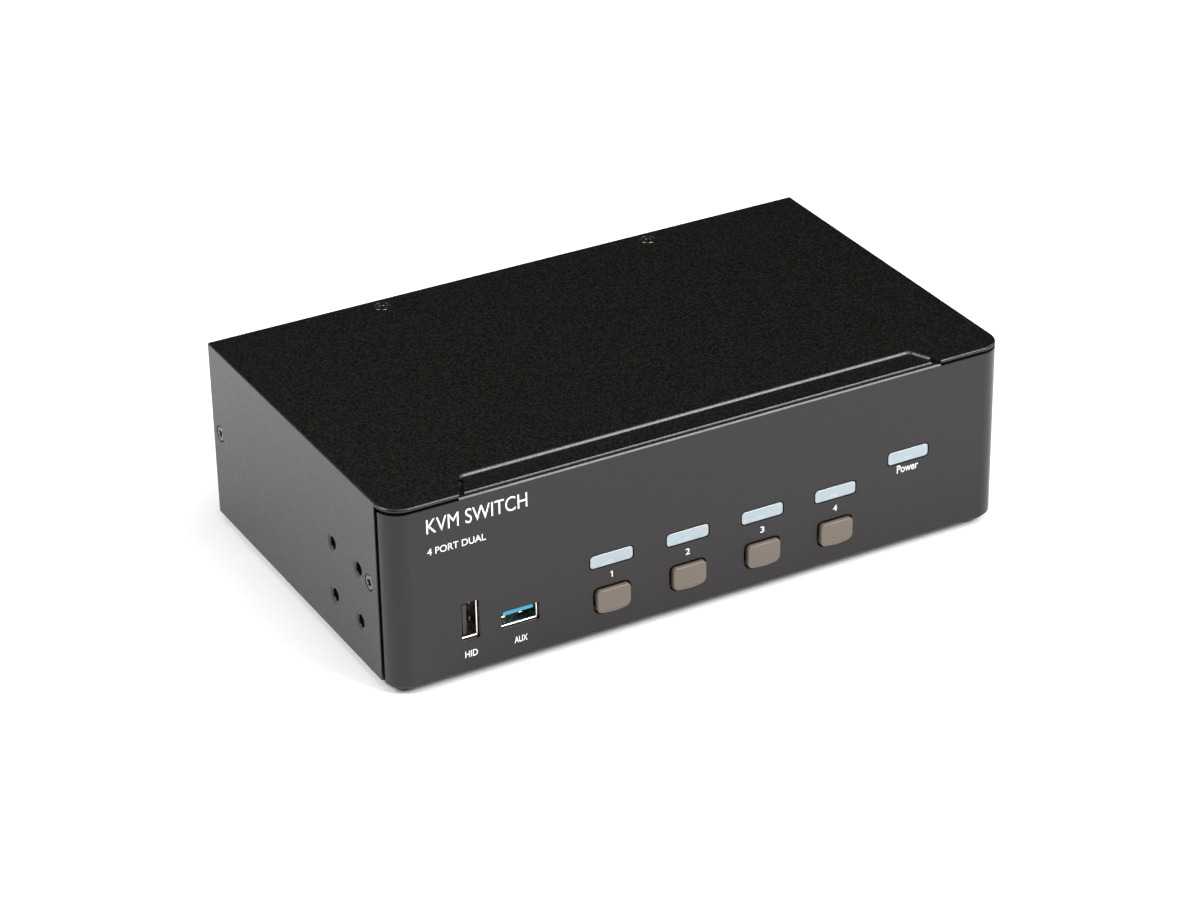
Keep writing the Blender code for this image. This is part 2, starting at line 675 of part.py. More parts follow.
def make_buttons():
    shelf = FRONT + BEZEL_WALL + GAP
    stem_end = FRONT + 4.4 * MM
    for number, x in enumerate(CHANNEL_X, 1):
        z = up(BUTTON_Z)
        outline = button_outline(x, z)
        face = FRONT - BUTTON_PROUD
        stem = shrunk_to(outline, x, z, 4 * MM, 4 * MM)
        rings = [at_y(grown(outline, -0.7 * MM), face), at_y(grown(outline, -0.22 * MM), face + 0.2 * MM)]
        rings += [at_y(outline, face + 0.65 * MM), at_y(outline, shelf), at_y(grown(outline, FLANGE_REACH), shelf)]
        rings.append(at_y(grown(outline, FLANGE_REACH), shelf + FLANGE_THICK))
        rings += [at_y(stem, shelf + FLANGE_THICK), at_y(stem, stem_end)]
        solid(f"button_{number}", [rings], "button_plastic")

        plunger_radius = 1.75 * MM
        plunger_ends = (stem_end + GAP, FRONT + 6.3 * MM)
        plunger = [at_y(circle(x, z, plunger_radius, 12), y) for y in plunger_ends]
        solid(f"switch_plunger_{number}", [plunger], "black_plastic")
        body = FRONT + 5.2 * MM
        bore_floor = plunger_ends[1] + BUTTON_TRAVEL + GAP
        bore = circle(x, z, plunger_radius + GAP, 12, 6)
        shell = rounded_box(x, z, 6 * MM, 6 * MM, 0.6 * MM, 2)
        rings = [at_y(shell, FRONT_BOARD_Y - GAP), at_y(shell, body), at_y(bore, body), at_y(bore, bore_floor)]
        solid(f"switch_housing_{number}", [rings], "black_plastic")


def make_windows():
    shelf = FRONT + BEZEL_WALL + GAP
    for name, (x, z) in window_places().items():
        outline = window_outline(x, z)
        face = FRONT - WINDOW_PROUD
        guide = grown(outline, -0.6 * MM)
        rings = [at_y(grown(outline, -0.45 * MM), face), at_y(grown(outline, -0.1 * MM), face + 0.2 * MM)]
        rings += [at_y(outline, face + 0.45 * MM), at_y(outline, shelf), at_y(grown(outline, FLANGE_REACH), shelf)]
        rings.append(at_y(grown(outline, FLANGE_REACH), shelf + FLANGE_THICK))
        rings += [at_y(guide, shelf + FLANGE_THICK), at_y(guide, FRONT + 7 * MM)]
        solid(name, [rings], "window_plastic")


# --- boards ----------------------------------------------------------------------------


def make_boards():
    low, high = up(MAIN_BOARD_Z), up(MAIN_BOARD_Z) + BOARD
    half, back = 113 * MM, REAR - SHEET - 1 * MM
    front = CHASSIS_FRONT_WALL + SHEET + 1 * MM
    tongue_front, tongue_left, tongue_right = FRONT + 5 * MM, -99 * MM, -58 * MM
    outline = [(half, back), (-half, back), (-half, front), (tongue_left, front), (tongue_left, tongue_front)]
    outline += [(tongue_right, tongue_front), (tongue_right, front), (half, front)]
    board = solid("main_board", [[at_z(outline, low), at_z(outline, high)]], "board_green")
    passages = []
    for x, y in TALL_STANDOFFS:
        passages.append([at_z(circle(x, y, 3.6 * MM, 12), z) for z in (low - 1 * MM, high + 1 * MM)])
    combine(board, "standoff_passages", passages)

    upper = [block((-112 * MM, -42 * MM, up(VIDEO_BOARD_Z)), (112 * MM, back, up(VIDEO_BOARD_Z) + BOARD))]
    solid("video_board", upper, "board_green")
    link = [block((-30 * MM, -20 * MM, high + GAP), (30 * MM, -14 * MM, up(VIDEO_BOARD_Z) - GAP))]
    solid("board_link", link, "black_plastic")
    front_board = [block((-50 * MM, FRONT_BOARD_Y, up(8.5 * MM)), (92 * MM, FRONT_BOARD_Y + BOARD, up(38 * MM)))]
    solid("front_board", front_board, "board_green")


# --- feet and screws -------------------------------------------------------------------


def make_feet():
    for back, y in (("front", -52 * MM), ("back", 52 * MM)):
        for side, x in (("left", -100 * MM), ("right", 100 * MM)):
            radii = [(0, 5.2 * MM), (0.6 * MM, 6 * MM), (FOOT_HEIGHT - GAP, 6 * MM)]
            solid(f"foot_{back}_{side}", [[at_z(circle(x, y, radius, 20), z) for z, radius in radii]], "foot_rubber")


def screw(name, place):
    """A countersunk screw; place maps (radius, depth below the sheet) to points."""
    radii = [(0.1 * MM, SCREW_HEAD), (1.2 * MM, SCREW_SHANK), (SCREW_LENGTH, SCREW_SHANK)]
    solid(name, [[place(radius, depth) for depth, radius in radii]], "black_screw")


def make_screws():
    for side, word in ((-1, "left"), (1, "right")):
        screw(f"top_screw_{word}", from_top(side * TOP_SCREW_X, TOP_SCREW_Y))
        for end, (y, z) in SIDE_SCREWS.items():
            screw(f"side_screw_{word}_{end}", from_side(side, y, z))


def main():
    for old in list(bpy.data.objects):
        bpy.data.objects.remove(old)
    make_top_cover()
    make_front_bezel()
    make_base_chassis()
    make_rear_panel()
    make_boards()
    make_feet()
    make_screws()
    make_buttons()
    make_windows()
    make_front_socket("hid_port", HID_PORT, True, "black_plastic")
    make_front_socket("usb_port", USB_PORT, False, "blue_plastic")
    make_video_ports()
    make_port_bs()
    make_audio_jacks()
    make_console_ports()
    make_power_jack()


main()
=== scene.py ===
"""Looks of a four-port KVM switch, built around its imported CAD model.

The origin is on the surface the feet stand on, under the middle of the case. +X is to the
right seen from the front, -Y is the front and +Z is up, all in metres.
"""

import math

import bmesh
import bpy
from mathutils import Matrix, Vector


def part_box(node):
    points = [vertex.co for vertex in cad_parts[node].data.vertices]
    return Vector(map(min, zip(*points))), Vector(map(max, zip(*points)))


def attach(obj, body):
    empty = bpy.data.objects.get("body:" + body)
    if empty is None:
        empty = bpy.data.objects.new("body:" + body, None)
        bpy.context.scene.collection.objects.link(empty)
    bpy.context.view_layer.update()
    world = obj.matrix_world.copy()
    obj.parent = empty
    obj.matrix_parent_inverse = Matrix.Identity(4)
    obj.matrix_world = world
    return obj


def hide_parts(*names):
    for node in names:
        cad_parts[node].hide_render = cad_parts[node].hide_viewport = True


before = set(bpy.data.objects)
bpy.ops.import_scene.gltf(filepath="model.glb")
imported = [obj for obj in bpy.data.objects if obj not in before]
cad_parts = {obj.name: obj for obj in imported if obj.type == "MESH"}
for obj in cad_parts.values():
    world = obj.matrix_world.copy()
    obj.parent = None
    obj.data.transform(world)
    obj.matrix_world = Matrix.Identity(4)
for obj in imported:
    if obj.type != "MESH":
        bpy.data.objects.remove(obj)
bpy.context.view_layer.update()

MM = 0.001
GAP = 0.3 * MM
ROOT = "case"


# --- outlines: lists of (u, v) points ----------------------------------------------------


def at_x(outline, x):
    return [Vector((x, u, v)) for u, v in outline]


def at_y(outline, y):
    return [Vector((u, y, v)) for u, v in outline]


def at_z(outline, z):
    return [Vector((u, v, z)) for u, v in outline]


def box_outline(u, v, width, height):
    left, right, low, high = u - width / 2, u + width / 2, v - height / 2, v + height / 2
    return [(left, low), (right, low), (right, high), (left, high)]


def circle(u, v, radius, steps=32):
    angles = [2 * math.pi * (i + 0.5) / steps for i in range(steps)]
    return [(u + radius * math.cos(a), v + radius * math.sin(a)) for a in angles]


def arc(u, v, radius_u, radius_v, start, end, steps=20):
    angles = [math.radians(start + (end - start) * i / steps) for i in range(steps + 1)]
    return [(u + radius_u * math.cos(a), v + radius_v * math.sin(a)) for a in angles]


def rounded(corners, steps=8):
    """An outline whose corners, given as (u, v, radius), are replaced by arcs."""
    outline = []
    for i, (u, v, radius) in enumerate(corners):
        here = Vector((u, v))
        back = (Vector(corners[i - 1][:2]) - here).normalized()
        ahead = (Vector(corners[(i + 1) % len(corners)][:2]) - here).normalized()
        half = back.angle(ahead) / 2
        centre = here + (back + ahead).normalized() * radius / math.sin(half)
        spoke = here + back * radius / math.tan(half) - centre
        turn = math.copysign(math.pi - 2 * half, -back.cross(ahead))
        for k in range(steps + 1):
            outline.append(tuple(centre + Matrix.Rotation(turn * k / steps, 2) @ spoke))
    return outline


def rounded_box(u, v, width, height, radius, steps=6):
    return rounded([(a, b, radius) for a, b in box_outline(u, v, width, height)], steps)


def normals(outline):
    """Each point's outward direction, and how far to go along it for a step of one."""
    area = sum(a[0] * b[1] - b[0] * a[1] for a, b in zip(outline, outline[1:] + outline[:1]))
    side = 1 if area > 0 else -1
    found = []
    for i, point in enumerate(outline):
        here = Vector(point)
        back = (here - Vector(outline[i - 1])).normalized()
        ahead = (Vector(outline[(i + 1) % len(outline)]) - here).normalized()
        normal = (Vector((back.y, -back.x)) + Vector((ahead.y, -ahead.x))).normalized()
        stretch = 1 / max(0.3, normal.dot(Vector((ahead.y, -ahead.x))))
        found.append((normal * side, stretch))
    return found


def grown(outline, amount):
    """The outline moved outward by amount, or inward where it is negative."""
    return [tuple(Vector(p) + n * amount * stretch) for p, (n, stretch) in zip(outline, normals(outline))]


def shrunk_to(outline, u, v, width, height):
    """The outline squeezed about (u, v) into a width and a height, keeping its point count."""
    span_u = max(a for a, _ in outline) - min(a for a, _ in outline)
    span_v = max(b for _, b in outline) - min(b for _, b in outline)
    return [(u + (a - u) * width / span_u, v + (b - v) * height / span_v) for a, b in outline]


def quarter(radius, steps=4):
    """(distance along, inset) pairs of a quarter round, from the edge's side to its face."""
    angles = [math.pi / 2 * i / steps for i in range(steps + 1)]
    return [(radius * (1 - math.sin(a)), radius * (1 - math.cos(a))) for a in angles]


# --- meshes --------------------------------------------------------------------------------


def skin(rings):
    """A closed mesh over a stack of rings, facing outward."""
    bm = bmesh.new()
    loops = [[bm.verts.new(point) for point in ring] for ring in rings]
    for near, far in zip(loops, loops[1:]):
        for i in range(len(near)):
            j = (i + 1) % len(near)
            bm.faces.new((near[i], near[j], far[j], far[i]))
    bm.faces.new(list(reversed(loops[0])))
    bm.faces.new(loops[-1])
    if bm.calc_volume(signed=True) < 0:
        bmesh.ops.reverse_faces(bm, faces=bm.faces)
    mesh = bpy.data.meshes.new("skin")
    bm.to_mesh(mesh)
    bm.free()
    return mesh


def build(name, groups):
    """An object of lofts; groups is a list of (lofts, material), and a loft is a list of rings."""
    bm = bmesh.new()
    mesh = bpy.data.meshes.new(name)
    for index, (lofts, finish) in enumerate(groups):
        mesh.materials.append(finish)
        for rings in lofts:
            part = skin(rings)
            known = len(bm.faces)
            bm.from_mesh(part)
            bpy.data.meshes.remove(part)
            bm.faces.ensure_lookup_table()
            for face in bm.faces[known:]:
                face.material_index = index
    bm.to_mesh(mesh)
    bm.free()
    made = bpy.data.objects.new(name, mesh)
    bpy.context.scene.collection.objects.link(made)
    return made


def settle(obj):
    """Bake an object's modifiers into its mesh."""
    graph = bpy.context.evaluated_depsgraph_get()
    mesh = bpy.data.meshes.new_from_object(obj.evaluated_get(graph), depsgraph=graph)
    obj.modifiers.clear()
    obj.data = mesh


def carve(obj, lofts, operation="DIFFERENCE"):
    """Cut the lofts out of obj, or join them to it."""
    tool = build("tool", [(lofts, None)])
    modifier = obj.modifiers.new("carve", "BOOLEAN")
    modifier.operation = operation
    modifier.solver = "EXACT"
    modifier.object = tool
    settle(obj)
    bpy.data.objects.remove(tool)


def soften(obj, chosen, width):
    """Round the sharp edges whose two ends both suit chosen(point)."""
    bm = bmesh.new()
    bm.from_mesh(obj.data)
    sharp = math.radians(25)
    edges = [e for e in bm.edges if len(e.link_faces) == 2 and e.calc_face_angle(0) > sharp
             and all(chosen(v.co) for v in e.verts)]
    bmesh.ops.bevel(bm, geom=edges, offset=width, segments=3, profile=0.5, affect="EDGES",
                    clamp_overlap=False)
    bm.to_mesh(obj.data)
    bm.free()


def shade(obj, angle=38):
    """Smooth normals that leave the large flat faces flat."""
    obj.data.shade_smooth()
    obj.data.set_sharp_from_angle(angle=math.radians(angle))
    modifier = obj.modifiers.new("weighted", "WEIGHTED_NORMAL")
    modifier.keep_sharp = True
    settle(obj)


def place(obj, replaces=(), body=ROOT):
    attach(obj, body)
    if replaces:
        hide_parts(*replaces)


def copies(obj, spots):
    """Objects that share obj's mesh: spots is a list of (name, offset)."""
    made = []
    for name, offset in spots:
        other = bpy.data.objects.new(name, obj.data)
        other.location = offset
        bpy.context.scene.collection.objects.link(other)
        made.append(other)
    bpy.data.objects.remove(obj)
    return made


def middle(node):
    low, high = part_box(node)
    return (low + high) / 2


# --- materials -----------------------------------------------------------------------------


class Nodes:
    """Short calls for building a material's nodes."""

    def __init__(self, name):
        self.material = bpy.data.materials.new(name)
        self.material.use_nodes = True
        self.tree = self.material.node_tree
        self.shader = self.tree.nodes["Principled BSDF"]
        self.coords = self.tree.nodes.new("ShaderNodeTexCoord").outputs["Object"]

    def add(self, kind):
        return self.tree.nodes.new(kind)

    def link(self, source, target):
        self.tree.links.new(source, target)

    def noise(self, scale, detail, stretch=None):
        """Noise in cells per metre, as its 0 to 1 value."""
        node = self.add("ShaderNodeTexNoise")
        node.inputs["Scale"].default_value = scale
        node.inputs["Detail"].default_value = detail
        coords = self.coords
        if stretch:
            mapping = self.add("ShaderNodeMapping")
            mapping.inputs["Scale"].default_value = stretch
            self.link(coords, mapping.inputs["Vector"])
            coords = mapping.outputs["Vector"]
        self.link(coords, node.inputs["Vector"])
        return node.outputs["Fac"]

    def ramp(self, value, low, high, from_low=0.35, from_high=0.65):
        """A value or a colour that runs from low to high as value goes between the two marks."""
        if isinstance(low, tuple):
            node = self.add("ShaderNodeValToRGB")
            node.color_ramp.elements[0].position = from_low
            node.color_ramp.elements[0].color = (*low, 1)
            node.color_ramp.elements[1].position = from_high
            node.color_ramp.elements[1].color = (*high, 1)
            self.link(value, node.inputs["Fac"])
            return node.outputs["Color"]
        node = self.add("ShaderNodeMapRange")
        marks = {"From Min": from_low, "From Max": from_high, "To Min": low, "To Max": high}
        for key, number in marks.items():
            node.inputs[key].default_value = number
        self.link(value, node.inputs["Value"])
        return node.outputs["Result"]

    def bump(self, value, strength, distance, under=None):
        node = self.add("ShaderNodeBump")
        node.inputs["Strength"].default_value = strength
        node.inputs["Distance"].default_value = distance
        self.link(value, node.inputs["Height"])
        if under:
            self.link(under, node.inputs["Normal"])
        return node.outputs["Normal"]

    def wear(self, **sockets):
        for name, value in sockets.items():
            socket = self.shader.inputs[name.replace("_", " ").title().replace("Ior", "IOR")]
            if isinstance(value, bpy.types.NodeSocket):
                self.link(value, socket)
            else:
                socket.default_value = value


def tinted(colour, share):
    return tuple(c * share for c in colour)


def finish(name, colour, roughness, grain, depth, mottle=0.12, metallic=0.0, **fixed):
    """A finish with fine grain in its height, and mottling in its colour and gloss."""
    nodes = Nodes(name)
    fine, broad = nodes.noise(grain, 4), nodes.noise(grain / 12, 2)
    spread = nodes.ramp(broad, roughness * 0.92, roughness * 1.08, 0.3, 0.7)
    shades = nodes.ramp(fine, tinted(colour, 1 - mottle), tinted(colour, 1 + mottle), 0.3, 0.7)
    relief = nodes.bump(fine, 0.5, depth)
    nodes.wear(base_color=shades, roughness=spread, normal=relief, metallic=metallic, **fixed)
    return nodes.material


def powder_coat(name, dark, light, roughness):
    """Textured powder coat: pinhead bumps with lighter flecks, over a faint orange peel."""
    nodes = Nodes(name)
    pinheads, peel = nodes.noise(1700, 3), nodes.noise(420, 2)
    flecks = nodes.ramp(nodes.noise(1150, 3), dark, light, 0.44, 0.62)
    spread = nodes.ramp(pinheads, roughness - 0.05, roughness + 0.05)
    relief = nodes.bump(pinheads, 0.42, 0.10 * MM, nodes.bump(peel, 0.18, 0.10 * MM))
    nodes.wear(base_color=flecks, roughness=spread, normal=relief)
    return nodes.material


def brushed(name, colour, roughness, stretch):
    """Plated metal with faint drawing lines along one direction."""
    nodes = Nodes(name)
    lines = nodes.noise(900, 3, stretch)
    shades = nodes.ramp(lines, tinted(colour, 0.86), tinted(colour, 1.08))
    spread = nodes.ramp(lines, roughness * 0.7, roughness * 1.3)
    nodes.wear(base_color=shades, roughness=spread, normal=nodes.bump(lines, 0.12, 0.02 * MM), metallic=1.0)
    return nodes.material


PAINT = powder_coat("powder_coat_black", (0.0004, 0.0004, 0.0004), (0.0076, 0.0066, 0.0053), 0.36)
CHASSIS = powder_coat("powder_coat_chassis", (0.006, 0.006, 0.006), (0.016, 0.016, 0.016), 0.45)
BEZEL = finish("bezel_satin", (0.0105, 0.0084, 0.0090), 0.30, 2600, 0.02 * MM, 0.10, specular_ior_level=0.34)
BUTTON = finish("button_taupe", (0.130, 0.104, 0.083), 0.42, 2400, 0.03 * MM, 0.05, specular_ior_level=0.36)
SCREW = brushed("screw_black_zinc", (0.150, 0.146, 0.140), 0.34, (1, 1, 1))
RUBBER = finish("foot_rubber_black", (0.016, 0.016, 0.016), 0.78, 1500, 0.06 * MM, 0.25)
STEEL = brushed("port_nickel", (0.78, 0.76, 0.72), 0.16, (1, 0.06, 1))
GOLD = brushed("contact_gold", (0.83, 0.60, 0.26), 0.22, (1, 0.1, 1))
BLACK = finish("moulding_black", (0.012, 0.012, 0.013), 0.40, 2200, 0.02 * MM, 0.15)
BLUE = finish("moulding_blue", (0.026, 0.320, 0.530), 0.34, 2200, 0.02 * MM, 0.06)
GREEN = finish("moulding_green", (0.080, 0.330, 0.070), 0.40, 2200, 0.02 * MM, 0.06)
PINK = finish("moulding_pink", (0.620, 0.150, 0.230), 0.40, 2200, 0.02 * MM, 0.06)
INK = finish("label_ink", (0.88, 0.88, 0.88), 0.55, 5000, 0.005 * MM, 0.02)
FLOOR = finish("studio_floor", (0.86, 0.86, 0.855), 0.75, 90, 0.05 * MM, 0.006)


def window_finish():
    """Milky light-pipe plastic: slightly cloudy, with a soft gloss."""
    nodes = Nodes("window_milky_blue")
    cloud = nodes.noise(170, 2)
    shades = nodes.ramp(cloud, (0.296, 0.343, 0.381), (0.310, 0.358, 0.396), 0.3, 0.7)
    spread = nodes.ramp(cloud, 0.20, 0.30)
    relief = nodes.bump(nodes.noise(1500, 2), 0.06, 0.02 * MM)
    nodes.wear(base_color=shades, roughness=spread, normal=relief, coat_weight=0.35, coat_roughness=0.12,
               subsurface_weight=0.15, subsurface_scale=1.5 * MM)
    return nodes.material


def board_finish():
    """Solder mask with copper tracks showing through as lighter lines."""
    nodes = Nodes("board_solder_mask")
    tracks = nodes.add("ShaderNodeTexBrick")
    tracks.inputs["Color1"].default_value = (0.014, 0.105, 0.045, 1)
    tracks.inputs["Color2"].default_value = (0.020, 0.135, 0.060, 1)
    tracks.inputs["Mortar"].default_value = (0.050, 0.230, 0.110, 1)
    tracks.inputs["Scale"].default_value = 90
    tracks.inputs["Mortar Size"].default_value = 0.03
    nodes.link(nodes.coords, tracks.inputs["Vector"])
    relief = nodes.bump(nodes.noise(1200, 2), 0.1, 0.02 * MM)
    spread = nodes.ramp(nodes.noise(300, 2), 0.28, 0.42)
    nodes.wear(base_color=tracks.outputs["Color"], roughness=spread, normal=relief)
    return nodes.material


WINDOW = window_finish()
BOARD = board_finish()


def repaint(name, material):
    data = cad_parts[name].data
    data.materials.clear()
    data.materials.append(material)


repaint("base_chassis", CHASSIS)
for node in ("main_board", "video_board", "front_board"):
    repaint(node, BOARD)
for node in ["board_link"] + [f"switch_{part}_{i}" for part in ("housing", "plunger") for i in range(1, 5)]:
    repaint(node, BLACK)


# --- case sizes ----------------------------------------------------------------------------

# DATUM is the side walls' lower edge. AHEAD and BEHIND lie past the case, where cutters end.
COVER_LOW, COVER_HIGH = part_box("top_cover")
BEZEL_LOW, BEZEL_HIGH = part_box("front_bezel")
PANEL_LOW, PANEL_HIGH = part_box("rear_panel")
HALF = COVER_HIGH.x
FRONT, REAR = BEZEL_LOW.y, COVER_HIGH.y
TOP, DATUM = COVER_HIGH.z, COVER_LOW.z
SKIN = 1.1 * MM
STEP_DEPTH = 0.9 * MM
STEP_SLOPE = 0.7 * MM
STEP_EDGE = FRONT + 1.3 * MM
STEP_FRONT_HALF, STEP_BACK_HALF = 91 * MM, 86 * MM
STEP_BACK = FRONT + 10.9 * MM
CORNER = 8.3 * MM
BEZEL_RADIUS = 8.0 * MM
BEZEL_WALL = 2.2 * MM
BEZEL_SINK = 0.2 * MM
SIDE_WALL_FRONT = FRONT + 9.2 * MM
STEP_FLOOR = TOP - STEP_DEPTH
STEP_UNDER = STEP_FLOOR - SKIN
AHEAD, BEHIND = FRONT - 9 * MM, REAR + 9 * MM
WINDOWS = [f"indicator_{i}" for i in range(1, 5)] + ["power_indicator"]


# --- top cover -----------------------------------------------------------------------------


def cover_outline(inset_side, inset_front):
    half = HALF - inset_side
    centre_u, centre_v = HALF - CORNER, COVER_LOW.y + CORNER
    rear = REAR - inset_front * 0.6
    outline = [(half, rear), (-half, rear)]
    outline += arc(-centre_u, centre_v, CORNER - inset_side, CORNER - inset_front, 180, 270, 24)
    outline += arc(centre_u, centre_v, CORNER - inset_side, CORNER - inset_front, 270, 360, 24)
    return outline


def step_outline(grow, reach):
    back = STEP_BACK + grow
    front_half, back_half = STEP_FRONT_HALF + grow, STEP_BACK_HALF + grow
    lean = (front_half - back_half) / (back - FRONT)
    wide = front_half + lean * (FRONT - reach)
    corners = [(-wide, reach, 0.05 * MM), (wide, reach, 0.05 * MM)]
    corners += [(back_half, back, 2.5 * MM), (-back_half, back, 2.5 * MM)]
    return rounded(corners)


# mouth radius, throat radius, and the well between them as (depth, added radius) in millimetres
SCREW_HOLE = (3.1 * MM, 1.85 * MM, [(0.35, 1.19), (1.15, 0.0)])
BRACKET_HOLE = (3.4 * MM, 2.15 * MM, [(0.09, 1.05), (0.24, 0.25), (0.40, 0.05), (0.60, 0.0)])
BRACKET_COLUMNS, BRACKET_ROWS = (23.5 * MM, 43.1 * MM), (15.1 * MM, 34.9 * MM)


def countersink(spot, mouth, throat, well):
    """A cutter through the sheet; spot(radius, depth) gives the ring at a depth under its face."""
    steps = [(-1, mouth + 1 * MM), (-0.03, mouth + 0.06 * MM), (0.03, mouth)]
    steps += [(depth, throat + reach * MM) for depth, reach in well] + [(3.5, throat)]
    return [spot(radius, depth * MM) for depth, radius in steps]


def from_side(side, y, z):
    return lambda radius, depth: at_x(circle(y, z, radius, 40), side * (HALF - depth))


def from_top(x, y):
    return lambda radius, depth: at_z(circle(x, y, radius, 40), TOP - depth)


def bent_sheet():
    """The top and both side walls, open underneath, with the side walls cut back at the front."""
    rings = [at_z(cover_outline(0, 0), DATUM)]
    bend, edge = 0.8 * MM, 0.75 * MM
    for step in range(13):
        a = math.pi / 2 * step / 12
        drop = bend * (1 - math.sin(a))
        front = edge - math.sqrt(max(0.0, edge ** 2 - max(0.0, edge - drop) ** 2))
        rings.append(at_z(cover_outline(bend * (1 - math.cos(a)), front), TOP - drop))
    cover = build("cover_shell", [([rings], PAINT)])

    inner, wide = HALF - SKIN, HALF + 10 * MM
    tee = [(-wide, AHEAD), (wide, AHEAD), (wide, SIDE_WALL_FRONT), (inner, SIDE_WALL_FRONT)]
    tee += [(inner, BEHIND), (-inner, BEHIND), (-inner, SIDE_WALL_FRONT), (-wide, SIDE_WALL_FRONT)]
    carve(cover, [[at_z(tee, DATUM - 9 * MM), at_z(tee, TOP - SKIN)]])
    return cover


def press_step(cover):
    """The step along the front edge: thickened below, sunk from above, cut off and bevelled in front."""
    slab = [at_z(step_outline(0.5 * MM, STEP_EDGE - 1 * MM), STEP_UNDER)]
    slab.append(at_z(step_outline(STEP_SLOPE + 0.9 * MM, STEP_EDGE - 1 * MM), TOP - 0.5 * SKIN))
    carve(cover, [slab], "UNION")

    profile = [(0, -0.30), (0.05, -0.10), (0.17, 0.04), (0.35, 0.16), (0.55, 0.34)]
    profile += [(0.73, 0.50), (0.84, 0.70)]
    recess = [at_z(step_outline(out * MM, AHEAD), STEP_FLOOR + rise * MM) for rise, out in profile]
    recess.append(at_z(step_outline(0.98 * MM, AHEAD), TOP))
    recess.append(at_z(step_outline(1.6 * MM, AHEAD), TOP + 0.3 * MM))
    carve(cover, [recess])
    reach = STEP_FRONT_HALF + STEP_SLOPE
    nose = box_outline(0, (AHEAD + STEP_EDGE) / 2, 2 * reach, STEP_EDGE - AHEAD)
    carve(cover, [[at_z(nose, STEP_UNDER - 1 * MM), at_z(nose, TOP + 1 * MM)]])
    near, far = STEP_EDGE - 0.42 * MM, STEP_EDGE + 0.84 * MM
    low, high = STEP_FLOOR - 1.1 * MM, STEP_FLOOR + 0.55 * MM
    brow = [(near, low), (far, high), (near, high)]
    carve(cover, [[at_x(brow, side * (STEP_FRONT_HALF - 0.6 * MM)) for side in (-1, 1)]])


def groove_ends(cover):
    """An open groove at each end of the step: nearly its full length on the left, short on the right."""
    lean = (STEP_FRONT_HALF - STEP_BACK_HALF) / (STEP_BACK - FRONT)
    grooves = []
    for side, rear in ((-1, STEP_BACK - 1.2 * MM), (1, STEP_EDGE + 2.2 * MM)):
        ends = [(STEP_FRONT_HALF + lean * (FRONT - y) + 0.9 * MM, y) for y in (FRONT - 1 * MM, rear)]
        outline = [(side * x, y) for x, y in ends] + [(side * (x - 1.9 * MM), y) for x, y in reversed(ends)]
        grooves.append([at_z(outline, STEP_FLOOR - 0.9 * MM), at_z(outline, TOP + 0.3 * MM)])
    carve(cover, grooves)


def cover_holes():
    holes = []
    for side, word in ((-1, "left"), (1, "right")):
        spot = middle(f"top_screw_{word}")
        holes.append(countersink(from_top(spot.x, spot.y), *SCREW_HOLE))
        for end in ("front", "rear"):
            spot = middle(f"side_screw_{word}_{end}")
            holes.append(countersink(from_side(side, spot.y, spot.z), *SCREW_HOLE))
        for y in BRACKET_COLUMNS:
            for z in BRACKET_ROWS:
                holes.append(countersink(from_side(side, FRONT + y, DATUM + z), *BRACKET_HOLE))
    return holes


def make_cover():
    cover = bent_sheet()
    press_step(cover)
    near = 0.02 * MM
    soften(cover, lambda p: abs(p.y - SIDE_WALL_FRONT) < near and abs(abs(p.x) - HALF) < near, 0.3 * MM)
    groove_ends(cover)
    carve(cover, cover_holes())
    shade(cover)
    place(cover, ["top_cover"])


# --- bezel ---------------------------------------------------------------------------------


def bezel_outline(inset):
    rear = BEZEL_HIGH.y + 1.1 * MM
    centre_u, centre_v = HALF - BEZEL_RADIUS, FRONT + BEZEL_RADIUS
    outer, inner = BEZEL_RADIUS - inset, BEZEL_RADIUS - BEZEL_WALL
    outer_start = math.degrees(math.asin((centre_v - rear) / outer))
    inner_start = math.degrees(math.asin((centre_v - rear) / inner))
    outline = arc(-centre_u, centre_v, outer, outer, 180 + outer_start, 270)
    outline += arc(centre_u, centre_v, outer, outer, 270, 360 - outer_start)
    outline += arc(centre_u, centre_v, inner, inner, 360 - inner_start, 270, 10)
    outline += arc(-centre_u, centre_v, inner, inner, 270, 180 + inner_start, 10)
    return outline


def button_outline(x, z):
    """Square shoulders at the top, rounder ones below and a bowed lower edge."""
    half_w, half_h = 6.45 * MM, 4.65 * MM
    low = -half_h + 0.7 * MM
    corners = [(x - half_w, z + low, 2.6 * MM), (x, z - half_h, 16 * MM), (x + half_w, z + low, 2.6 * MM)]
    corners += [(x + half_w, z + half_h, 1.6 * MM), (x - half_w, z + half_h, 1.6 * MM)]
    return rounded(corners, 10)


def window_outline(x, z):
    return rounded_box(x, z, 16.1 * MM, 4.6 * MM, 1.1 * MM)


def socket_outline(node, grow=0.0):
    low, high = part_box(node)
    width, height = high.x - low.x, high.z - low.z
    centre, corner = middle(node), max(0.5 * MM + grow, 0.15 * MM)
    return rounded_box(centre.x, centre.z, width + 2 * grow, height + 2 * grow, corner, 5)


def opening(outline, edge):
    """A cutter through the bezel with a small round at the mouth."""
    steps = [(-1 * MM, 1 * MM + edge), (0.0, edge), (0.3 * edge, 0.35 * edge), (edge, 0.0)]
    steps.append((BEZEL_WALL + 1 * MM, 0.0))
    return [at_y(grown(outline, out), FRONT + depth) for depth, out in steps]


